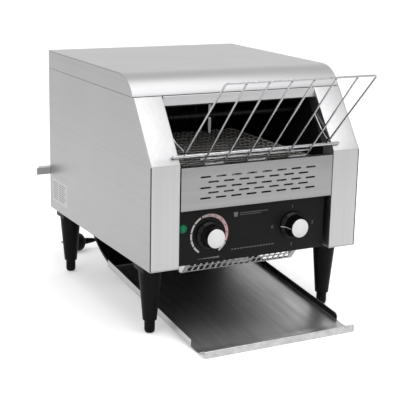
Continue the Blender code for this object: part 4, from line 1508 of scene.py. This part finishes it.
@dataclass
class FrontPanels:
    """Slotted vent panel, black control panel with its print and lamp, and the perforated guard."""

    slot_pitch: float = 0.0266
    slot_length: float = 0.0180
    slot_height: float = 0.0026
    slot_rows: tuple[float, ...] = (0.2197, 0.2277, 0.2356, 0.2441, 0.2523)
    dial: Flat = (-0.0792, 0.1588)
    dial_outer: float = 0.0328
    mode: Flat = (0.0695, 0.1580)

    def __post_init__(self) -> None:
        """Reads the control panel's face from the frame."""
        self.panel = Room.of("control_panel")
        self.face = self.panel.low.y

    def vent(self) -> Piece:
        """Upper front plate, folded back at top and bottom, with five staggered rows of slots.

        Returns:
            The finished piece.
        """
        room = Room.of("vent_panel")
        path = [(room.high.y, room.low.z), (room.low.y, room.low.z), (room.low.y, room.high.z),
                (room.high.y, room.high.z)]
        plate = prism("vent_plate", sheet(rounded(path, 0.0016), -SHEET), room.low.x, room.high.x)
        centres = []
        for row, height in enumerate(self.slot_rows):
            count = 8 - row % 2
            first = -self.slot_pitch * (count - 1) / 2
            centres += [(first + self.slot_pitch * i, 0, height) for i in range(count)]
        tool = prism("slot_punch", stadium((0, 0), self.slot_length, self.slot_height), -0.005, 0.005, Axis.Y)
        carve(plate, repeated(tool, shifted(centres)))
        return settle(soften(plate, 0.00015), VENT_STEEL, "vent_panel")

    def control_plate(self) -> Piece:
        """Black plate with folded edges and a hole for each control.

        Returns:
            The finished piece.
        """
        low, high = self.panel.low, self.panel.high
        plate = prism("control_plate", block((low.x, low.z), (high.x, high.z)), low.y, high.y, Axis.Y)
        soften(plate, 0.0012, 3)
        inside = prism("inside", block((low.x + SHEET, low.z + SHEET), (high.x - SHEET, high.z - SHEET)),
                       low.y + SHEET, high.y + 0.01, Axis.Y)
        holes = (((-0.080, 0.1585), 0.0038), (self.mode, 0.0038), ((-0.125, 0.1728), 0.0055))
        drills = [lathe("drill", block((0, 0), (radius, 0.03)), Axis.Y, place, 32) for place, radius in holes]
        carve(plate, inside, *drills)
        return settle(plate, ENAMEL, "control_panel")

    def printed(self, name: str, outlines: Sequence[Sequence[Flat]], finish: Finish,
                lift: float = 0.0) -> Piece:
        """Ink on the control panel.

        Args:
            name: The print's name.
            outlines: Its closed outlines, in X and Z.
            finish: The ink.
            lift: How far it lies above the first layer of ink.

        Returns:
            The print as one piece.
        """
        top = self.face - 0.00012 - lift
        made = [prism(name, outline, top, self.face - 0.00002 - lift, Axis.Y) for outline in outlines]
        return settle(joined(made, name), finish, "control_panel", stands_for=False)

    @staticmethod
    def clock(angle: float) -> float:
        """An angle counted clockwise from straight down, as the usual one from the right."""
        return -90.0 - angle

    def sector(self, start: float, end: float, width: Callable[[float], float]) -> list[Flat]:
        """Part of the dial's ring.

        Args:
            start: First angle, clockwise from straight down.
            end: Last angle.
            width: The ring's width at a share of the way round.

        Returns:
            Its closed outline.
        """
        steps = max(4, round((end - start) / 4))
        outer = arc(self.dial, self.dial_outer, self.clock(start), self.clock(end), steps)
        inner = []
        for share in (i / steps for i in range(steps + 1)):
            turn = self.clock(start + (end - start) * share)
            inner.append(on_circle(self.dial, self.dial_outer - width(share), turn))
        return outer + inner[::-1]

    def speed_dial(self) -> None:
        """Dashes from slow to half way, then a crescent that warms towards fast, with its dots."""
        dashes = ((34, 56), (58.5, 76.5), (79, 98.5), (101, 125), (128, 151), (297, 328))
        self.printed("dial_dashes", [self.sector(a, b, lambda share: 0.0030) for a, b in dashes], WHITE_INK)
        band = self.sector(155, 294, lambda share: 0.0030 + 0.0024 * math.sin(math.pi * share) ** 0.7)
        centre = (self.dial[0], self.face + FRONT_Y, self.dial[1])
        self.printed("dial_heat_band", [band], HeatBandInk("dial_band_ink", centre=centre))
        dots = []
        for angle in (180, 200, 222, 245, 268):
            place = on_circle(self.dial, self.dial_outer - 0.0026, self.clock(angle))
            dots.append(arc(place, 0.0011, 0, 345, 23))
        self.printed("dial_dots", dots, DARK_INK, 0.00012)

    def plain_marks(self) -> None:
        """Generic print: a wedge under the speed dial, a slice-shaped sign and two plain rules."""
        x, z = self.dial[0], 0.1215
        wedge = [(x - 0.020, z - 0.0002), (x + 0.018, z - 0.0014), (x + 0.018, z + 0.0014),
                 (x - 0.020, z + 0.0002)]
        rules = [block((-0.040 + 0.0052 * i, 0.1298), (-0.0366 + 0.0052 * i, 0.1312)) for i in range(15)]
        self.printed("control_rules", [wedge, *rules], GREY_INK)
        sx, sz = -0.0335, 0.1858
        crust = [(sx - 0.0030, sz - 0.0036), (sx + 0.0030, sz - 0.0036), (sx + 0.0030, sz + 0.0010),
                 *arc((sx + 0.0024, sz + 0.0020), 0.0017, -40, 90, 5),
                 *arc((sx - 0.0024, sz + 0.0020), 0.0017, 90, 220, 5),
                 (sx - 0.0030, sz + 0.0010)]
        bars = [block((-0.0265, 0.1868), (0.024, 0.1876)), block((-0.0265, 0.1840), (0.012, 0.1846))]
        self.printed("slice_sign", [crust, *bars], GREY_INK)

    def mode_numbers(self) -> Piece:
        """Numbers 0 to 3 round the mode knob, clockwise from the left.

        Returns:
            The finished piece.
        """
        x, z = self.mode
        places = ((x - 0.0365, z), (x, z + 0.0300), (x + 0.0385, z), (x, z - 0.0320))
        made = []
        for number, (across, up) in enumerate(places):
            bpy.ops.object.select_all(action="DESELECT")
            bpy.ops.object.text_add()
            text = bpy.context.object
            text.data.body = str(number)
            text.data.size = 0.0075
            text.data.extrude = 0.00005
            text.data.align_x, text.data.align_y = "CENTER", "CENTER"
            bpy.ops.object.convert(target="MESH")
            text = bpy.context.object
            place = Matrix.Translation((across, self.face - 0.00007, up))
            made.append(turned_to(text, place @ Matrix.Rotation(math.radians(90), 4, "X")))
        return settle(joined(made, "mode_numbers"), GREY_INK, "control_panel", stands_for=False)

    def lamp(self) -> Piece:
        """Domed signal lens with its bezel flange and its barrel behind the panel.

        Returns:
            The finished piece.
        """
        room = Room.of("signal_lamp")
        centre = (room.centre.x, room.centre.z)
        front, rim = room.low.y, self.face - GAP
        dome = arc((0, front + 0.0062), 0.0062, -90, -28, 8)
        profile = [(abs(r), y) for r, y in dome]
        profile = [*profile, (0.0060, rim - 0.0012), (0.0066, rim - 0.0010), (0.0066, rim), (0.0050, rim),
                   (0.0050, room.high.y), (0, room.high.y)]
        return settle(lathe("signal_lens", profile, Axis.Y, centre, 40), LENS, "signal_lamp")

    def guard(self) -> Piece:
        """Perforated slanting lip under the panel, with a gusset at each end.

        Returns:
            The finished piece.
        """
        room = Room.of("lower_guard")
        half = room.high.x
        path = [(0.0275, 0.1152), (0.033, 0.1152), (0.0592, 0.0856), (0.067, 0.0856)]
        lip = prism("guard_lip", sheet(rounded(path, 0.0018, 3)), -half, half)
        gusset = [(0.0338, 0.1150), (0.0597, 0.0860), (0.0668, 0.0860), (0.0668, 0.1150)]
        ends = [prism("gusset", gusset, *side.span(half - SHEET, half)) for side in Side]
        carve(lip, *ends, operation="UNION")
        pitch, width, count = 0.0105, 0.0078, 18
        first = -pitch * (count - 1) / 2
        tools = []
        for low, high in ((0.0880, 0.0961), (0.0985, 0.1080)):
            square = block((-width / 2, low), (width / 2, high), 0.0012)
            tool = prism("square_punch", square, 0.030, 0.064, Axis.Y)
            tools.append(repeated(tool, shifted((first + pitch * i, 0, 0) for i in range(count))))
        carve(lip, joined(tools, "punches"))
        return settle(soften(lip, 0.00015), GUARD_STEEL, "lower_guard")

    def build(self) -> None:
        """Makes the panels and everything on them."""
        self.vent()
        self.control_plate()
        self.speed_dial()
        self.plain_marks()
        self.mode_numbers()
        self.lamp()
        self.guard()


@dataclass
class Knob:
    """Skirted phenolic knob with a printed pointer and a spun aluminium cap."""

    node: str
    pointer: float
    face_radius: float = 0.0150
    skirt_radius: float = 0.0224

    def __post_init__(self) -> None:
        """Reads the knob's axis and reach from the frame."""
        room, cap = Room.of(self.node), Room.of(f"{self.node}_cap")
        self.axis = (room.centre.x, room.centre.z)
        self.front, self.back = room.low.y, room.high.y
        self.seat = Room.of("control_panel").low.y - 0.0010
        self.cap_low, self.cap_high = cap.low.y, cap.high.y

    def outer(self) -> list[Flat]:
        """The visible side of the knob, from its face down to the skirt's rim.

        Returns:
            Its points, from the face outwards.
        """
        shoulder = arc((self.face_radius - 0.0002, self.front + 0.0012), 0.0012, -90, 0, 4)
        foot = arc((0.0225, self.seat - 0.0092), 0.0052, 180, 118, 5)
        flare = [(r, y) for r, y in foot if r < 0.0205]
        return [*shoulder, (0.0164, self.seat - 0.0140), (0.0172, self.seat - 0.0092), *flare[1:],
                (0.0214, self.seat - 0.0036), (0.0222, self.seat - 0.0026),
                (self.skirt_radius, self.seat - 0.0012)]

    def body(self) -> Piece:
        """The knob turned in one piece with its spindle.

        Returns:
            The finished piece.
        """
        profile = [(0, self.front), *self.outer(), (self.skirt_radius, self.seat), (0.0208, self.seat),
                   (0.0204, self.seat - 0.0008), (0.0032, self.seat - 0.0008), (0.0032, self.back),
                   (0, self.back)]
        return settle(lathe(f"{self.node}_body", profile, Axis.Y, self.axis, 72), KNOB_PLASTIC, self.node)

    def cap(self) -> Piece:
        """Spun disc pressed on the face, with a rolled rim.

        Returns:
            The finished piece.
        """
        low, high = self.cap_low, self.cap_high
        profile = [(0, low + 0.00015), (0.0132, low + 0.00015), (0.0136, low), (0.0143, low),
                   (0.0148, low + 0.0004), (0.0150, low + 0.0009), (0.0150, high), (0, high)]
        disc = lathe(f"{self.node}_disc", profile, Axis.Y, self.axis, 72)
        centre = (self.axis[0], low + FRONT_Y, self.axis[1])
        return settle(disc, SpunAluminium(f"{self.node}_spun_aluminium", centre=centre), f"{self.node}_cap")

    def pointer_line(self) -> Piece:
        """Painted line down the side of the knob and across its skirt.

        Returns:
            The finished piece.
        """
        side = [(r, y) for r, y in self.outer() if y > self.front + 0.0011]
        line = prism(f"{self.node}_pointer", sheet(offset(side, -0.00012), 0.0002), -0.0006, 0.0006, Axis.Z)
        move = Matrix.Translation((self.axis[0], 0, self.axis[1])) @ Matrix.Rotation(
            math.radians(-self.pointer), 4, "Y")
        return settle(turned_to(line, move), WHITE_INK, self.node, stands_for=False)

    def build(self) -> None:
        """Makes the knob, its cap and its pointer."""
        self.body()
        self.cap()
        self.pointer_line()


# ------------------------------------------------------------------ feed rack


@dataclass
class FeedRack:
    """Lift-off rack of chromed wire, welded at every crossing."""

    wire: float = 0.0015
    thick: float = 0.0025
    pitch: float = 0.074
    wire_half: float = 0.126
    low_end: Vector = Vector((0, 0.0140, 0.2685))

    def __post_init__(self) -> None:
        """Reads the rack's corners from the frame."""
        hoop = Room.of("rack_frame")
        self.top = Vector((0, hoop.low.y + self.wire, hoop.high.z - self.wire))
        self.rest_rod, self.cross_rod = Room.of("rack_rod"), Room.of("rack_cross_rod")
        self.slope = (self.low_end - self.top).normalized()

    def hoop(self) -> Piece:
        """The frame: a hook into the chamber on each side, the knee on the rod and the top bar.

        Returns:
            The finished piece.
        """
        rest = self.rest_rod.centre
        right = [Vector((0.1335, 0.0570, 0.3252)), Vector((0.1310, 0.0300, 0.3020)),
                 Vector((self.wire_half, rest.y - 0.0010, rest.z + 0.0046)),
                 Vector((self.wire_half, self.top.y, self.top.z))]
        left = [Vector((-p.x, p.y, p.z)) for p in right[::-1]]
        return settle(rod("rack_hoop", right + left, self.wire, 0.006), CHROME, "rack_frame")

    def rods(self) -> None:
        """The thick rest rod and the thin cross rod, with rounded ends."""
        for name, room, radius in (("rack_rod", self.rest_rod, self.thick),
                                   ("rack_cross_rod", self.cross_rod, self.wire)):
            y, z, half = room.centre.y, room.centre.z, room.high.x
            end = arc((half - radius, 0), radius, 0, 90, 5)
            profile = [(r, x) for x, r in end] + [(r, -x) for x, r in end[::-1]]
            settle(lathe(f"{name}_bar", profile, Axis.X, (y, z), 24), CHROME, name)

    def loops(self) -> None:
        """Three looped pairs of straight wires that pass in front of both rods."""
        top = self.top + self.slope * (2 * self.wire + GAP)
        for name, x in (("left", -self.pitch), ("centre", 0.0), ("right", self.pitch)):
            down = [Vector((x - self.pitch / 4, *end.yz)) for end in (top, self.low_end)]
            up = [Vector((2 * x - p.x, p.y, p.z)) for p in down[::-1]]
            settle(rod(f"rack_wires_{name}", down + up, self.wire, 0.006), CHROME, f"rack_loop_{name}")

    def welds(self) -> Piece:
        """Small resistance-weld beads where the wires meet the rods and the top bar.

        Returns:
            The finished piece.
        """
        places = []
        for x in (i * self.pitch / 2 - self.pitch * 1.25 for i in range(6)):
            places.append(Vector((x, *(self.top + self.slope * 0.0016).yz)))
            for room, radius in ((self.rest_rod, self.thick), (self.cross_rod, self.wire)):
                touch = room.centre + Vector((0, self.slope.z, -self.slope.y)) * radius
                places.append(Vector((x, touch.y, touch.z)))
        rest = self.rest_rod.centre
        places += [Vector((side.value * self.wire_half, rest.y - 0.0004, rest.z + 0.0026)) for side in Side]
        bead = lathe("rack_welds", [(0, -0.0016), (0.0009, -0.0014), (0.0015, -0.0007), (0.0017, 0.0),
                                    (0.0015, 0.0007), (0.0009, 0.0014), (0, 0.0016)], Axis.X, steps=12)
        return settle(repeated(bead, shifted(places)), CHROME, "rack_frame", stands_for=False, smooth=60)

    def build(self) -> None:
        """Makes the whole rack."""
        self.hoop()
        self.rods()
        self.loops()
        self.welds()


# ------------------------------------------------------------------ conveyor


@dataclass
class Conveyor:
    """Endless belt of interlocked wave wires between the shafts, and the quartz heaters round it."""

    wire: float = 0.0009
    strands: int = 80
    wave: float = 0.026
    swing: float = 0.0030
    hook: float = 0.0035

    def __post_init__(self) -> None:
        """Reads the belt's loop from the frame."""
        belt = Room.of("conveyor_belt")
        self.half = belt.high.x
        self.axle_z = belt.centre.z
        self.radius = belt.high.z - belt.centre.z - 0.001
        reach = belt.high.z - belt.centre.z
        self.front, self.rear = belt.low.y + reach, belt.high.y - reach

    def station(self, share: float) -> Matrix:
        """Where a strand lies at a share of the way round the belt's loop.

        Args:
            share: From 0 to 1, starting over the idler shaft and running backwards on top.

        Returns:
            The strand's place and turn.
        """
        run, bow = self.rear - self.front, math.pi * self.radius
        along = share * 2 * (run + bow)
        if along < run:
            y, z, turn = self.front + along, self.radius, 0.0
        elif along < run + bow:
            turn = (along - run) / self.radius
            y, z = self.rear + self.radius * math.sin(turn), self.radius * math.cos(turn)
        elif along < 2 * run + bow:
            y, z, turn = self.rear - (along - run - bow), -self.radius, math.pi
        else:
            turn = math.pi + (along - 2 * run - bow) / self.radius
            y, z = self.front + self.radius * math.sin(turn), self.radius * math.cos(turn)
        return Matrix.Translation((0, y, self.axle_z + z)) @ Matrix.Rotation(-turn, 4, "X")

    def strand(self, name: str, sign: int) -> Piece:
        """One wave wire across the belt, with a hook round its neighbour at each end.

        Args:
            name: The piece's name.
            sign: Which way its first wave swings.

        Returns:
            The wire, lying along X at the origin.
        """
        edge = self.half - self.wire
        inside = edge - self.hook
        count = 72
        middle = []
        for i in range(count + 1):
            x = -inside + 2 * inside * i / count
            middle.append(Vector((x, sign * self.swing * math.cos(math.tau * x / self.wave), 0)))
        start = [Vector((-inside + 0.001, 0.0070, 0)), Vector((-edge + 0.0012, 0.0066, 0)),
                 Vector((-edge, 0.0050, 0)), Vector((-edge + 0.0004, 0.0025, 0))]
        finish = [Vector((-p.x, p.y, 0)) for p in start[::-1]]
        return rod(name, start + middle + finish, self.wire, resolution=1)

    def belt(self) -> Piece:
        """All the strands, every second one swinging the other way.

        Returns:
            The finished piece.
        """
        layers = []
        for name, sign, first in (("belt_wires_a", 1, 0), ("belt_wires_b", -1, 1)):
            stations = [self.station(i / self.strands) for i in range(first, self.strands, 2)]
            layers.append(repeated(self.strand(name, sign), stations))
        return settle(joined(layers, "belt_mesh"), BELT_STEEL, "conveyor_belt", smooth=60)

    def heater(self, node: str) -> None:
        """Quartz tube and its two ceramic end caps.

        Args:
            node: The heater's CAD node.
        """
        room = Room.of(node)
        centre, tip = (room.centre.y, room.centre.z), room.high.x
        wall = tip - 0.0117
        tube = [(0, -wall - 0.002), (0.0045, -wall - 0.002), (0.0045, wall + 0.002), (0, wall + 0.002)]
        # The tube's dark tone is painted shade inside the chamber.
        settle(lathe(f"{node}_tube", tube, Axis.X, centre, 28), QUARTZ, node)
        caps = []
        for side in Side:
            profile = [(0.0048, wall), (0.0058, wall), (0.0062, wall + 0.0004), (0.0062, wall + 0.0050),
                       (0.0056, wall + 0.0056), (0.0062, wall + 0.0062), (0.0062, tip - 0.0006),
                       (0.0056, tip), (0.0016, tip), (0.0016, tip - 0.003), (0, tip - 0.003),
                       (0, wall + 0.0022), (0.0048, wall + 0.0022), (0.0048, wall)]
            caps.append(lathe("cap", [(r, side.value * x) for r, x in profile], Axis.X, centre, 28))
        settle(joined(caps, f"{node}_caps"), CERAMIC, node, stands_for=False)

    def idler(self) -> Piece:
        """Idler shaft with its two grooved rollers.

        Returns:
            The finished piece.
        """
        room = Room.of("idler_shaft")
        reach, big = room.high.x, 0.0190
        profile = [(0, -reach), (0.0044, -reach), (0.0050, -reach + 0.0006)]
        for x in (-0.085, 0.085):
            half = [(0.0050, 0.0060), (big - 0.0008, 0.0060), (big, 0.0052), (big, 0.0014),
                    (big - 0.0012, 0.0008)]
            profile += [(r, x - a) for r, a in half] + [(r, x + a) for r, a in half[::-1]]
        profile += [(0.0050, reach - 0.0006), (0.0044, reach), (0, reach)]
        return settle(lathe("idler_roller_shaft", profile, Axis.X, (room.centre.y, room.centre.z), 48),
                      MACHINED_STEEL, "idler_shaft")

    def build(self) -> None:
        """Makes the belt, the heaters and the idler."""
        self.belt()
        self.idler()
        for level in ("upper", "lower"):
            for end in ("front", "rear"):
                self.heater(f"{level}_heater_{end}")


# ------------------------------------------------------------------ toast path and legs


@dataclass
class ToastPath:
    """The curved chute under the cabinet and the sloping tray that catches the toast."""

    chute_radius: float = 0.200
    chute_centre: Flat = (0.231, 0.234)
    slope: float = 0.1068
    floor_at_front: float = 0.0077
    tray_rear: float = 0.280
    flange: float = 0.0105

    def chute(self) -> Piece:
        """Rolled slide with a hem at both ends and a low rib along each edge.

        Returns:
            The finished piece.
        """
        room = Room.of("toast_chute")
        half = room.high.x
        slide = arc(self.chute_centre, self.chute_radius, -78, -17, 40)
        plate = prism("chute_slide", sheet(slide, -0.001), -half, half)
        edges = [prism("edge", sheet(slide, 0.004), *side.span(half - 0.001, half)) for side in Side]
        carve(plate, *edges, operation="UNION")
        # The slide's near-black tone is painted shade under the cabinet.
        return settle(soften(plate, 0.0002), CHUTE_STEEL, "toast_chute")

    def floor(self, y: float) -> float:
        """Height of the tray's floor at a distance from the front face."""
        return self.floor_at_front + self.slope * y

    def tray(self) -> None:
        """Tray with its folded flanges and turned-down lip, and a dark strip inside each flange that is
        painted shade on the flange's inner face.
        """
        room = Room.of("toast_tray")
        half = room.high.x
        lip = room.low.y
        path = [(self.tray_rear, self.floor(self.tray_rear)), (-0.034, self.floor(-0.034)), (-0.050, 0.0022),
                (-0.062, 0.0018), (lip + 0.004, 0.0106), (lip, 0.0106), (lip, 0.0002)]
        floor = sheet(rounded(path, 0.0020, 4), 0.0012)
        tray = prism("tray_floor", floor, -half, half)
        rear, front, nose = self.tray_rear, -0.033, -0.037
        at_rear, at_front, at_nose = (self.floor(y) for y in (rear, front, nose))
        top = [(rear, at_rear + self.flange), (front, at_front + self.flange),
               (nose, at_nose + self.flange - 0.003)]
        wall = [(rear, at_rear - 0.0006), *rounded(top, 0.0015, 3), (nose, at_nose - 0.0006)]
        walls = [prism("wall", wall, *side.span(half - 0.001, half)) for side in Side]
        carve(tray, *walls, operation="UNION")
        settle(soften(tray, 0.0002), TRAY_STEEL, "toast_tray")
        shade_outline = [(rear - 0.001, at_rear + 0.0012), (rear - 0.001, at_rear + self.flange - 0.0008),
                 (front, at_front + self.flange - 0.0008), (nose + 0.0008, at_nose + self.flange - 0.0036),
                 (nose + 0.0008, at_nose + 0.0012)]
        # Dark strips on the flanges' inner faces: painted shade.
        for side in Side:
            strip = prism(f"tray_guide_{side.word}", shade_outline, *side.span(half - 0.0014, half - 0.0010))
            settle(strip, CHUTE_STEEL, "toast_tray", stands_for=False, slot="black_panel")

    def build(self) -> None:
        """Makes the chute and the tray."""
        self.chute()
        self.tray()


@dataclass
class Leg:
    """Tapered nylon leg with a square flange at its top and a levelling foot screwed into it."""

    end: str
    side: Side
    flange_half: float = 0.0195
    flange_high: float = 0.0105
    threads: int = 14

    def build(self) -> None:
        """Makes the leg and its foot."""
        name = f"{self.end}_{self.side.word}"
        leg, foot = Room.of(f"{name}_leg"), Room.of(f"{name}_foot")
        centre = (leg.centre.x, leg.centre.y)
        low, top, bore = leg.low.z, leg.high.z, 0.0044
        profile = [(bore, low), (0.0104, low), (0.0112, low + 0.0008), (0.0192, top - 0.001),
                   (0, top - 0.001), (0, low + 0.034), (bore, low + 0.034), (bore, low)]
        moulding = lathe(f"{name}_leg_moulding", profile, Axis.Z, centre, 56)
        half = self.flange_half
        corners = [(centre[0] + sign * half, centre[1] + sign * half) for sign in (-1, 1)]
        flange = prism("flange", block(*corners, 0.0025), top - self.flange_high, top, Axis.Z)
        carve(moulding, soften(flange, 0.0006, 2), operation="UNION")
        settle(moulding, LEG_PLASTIC, f"{name}_leg")
        pad_top = low - GAP
        pad = [(0, 0.0), (0.0050, 0.0), (0.0066, 0.0008), (0.0078, 0.0024), (0.0084, 0.0045),
               (0.0085, 0.0070), (0.0085, pad_top - 0.0006), (0.0080, pad_top), (0.0038, pad_top)]
        pitch = (foot.high.z - pad_top - 0.002) / self.threads
        for i in range(self.threads):
            at = pad_top + 0.0006 + pitch * i
            pad += [(0.0038, at), (0.0033, at + pitch * 0.5)]
        pad += [(0.0036, foot.high.z - 0.0008), (0.0030, foot.high.z), (0, foot.high.z)]
        settle(lathe(f"{name}_levelling_foot", pad, Axis.Z, centre, 48), LEG_PLASTIC, f"{name}_foot")


# ------------------------------------------------------------------ kept parts


KEPT = {
    # Chamber, reflector and bay: their dark tones are painted shade inside the cabinet.
    CHAMBER_STEEL: ("left_chamber_wall", "right_chamber_wall"),
    CEILING_STEEL: ("upper_reflector",),
    # The hanger's darkening towards the back is painted shade.
    HeatTintedStrap("heat_tinted_strap_steel"): ("heater_hanger",),
    BAY_STEEL: ("control_bay_shell", "gear_motor", "speed_regulator"),
    BACK_STEEL: ("base_frame",),
    MACHINED_STEEL: ("drive_shaft", "drive_sprocket_left", "drive_sprocket_right", "driven_chain_wheel",
                     "motor_chain_wheel", "drive_chain"),
    FAN_PLASTIC: ("fan_housing", "fan_rotor", "mode_switch"),
}


def dress_kept_parts() -> None:
    """Gives the flat and hidden CAD parts, whose shapes stay, their finishes; those inside the cabinet are
    dark with painted shade.
    """
    for finish, nodes in KEPT.items():
        for node in nodes:
            part = frame["nodes"][node]
            part.data.materials.clear()
            part.data.materials.append(finish.material())
            LOG.info("%s: kept, in %s", node, finish.name)


def main() -> None:
    """Builds the studio, then each sub-assembly in order."""
    logging.basicConfig(level=logging.INFO, format="%(message)s")
    Studio().build()
    SupplyCord().build()
    Cabinet().build()
    FrontPanels().build()
    Knob("speed_knob", pointer=-52.0).build()
    Knob("mode_knob", pointer=180.0).build()
    FeedRack().build()
    Conveyor().build()
    ToastPath().build()
    for end in ("front", "rear"):
        for side in Side:
            Leg(end, side).build()
    dress_kept_parts()


if __name__ == "__main__":
    main()
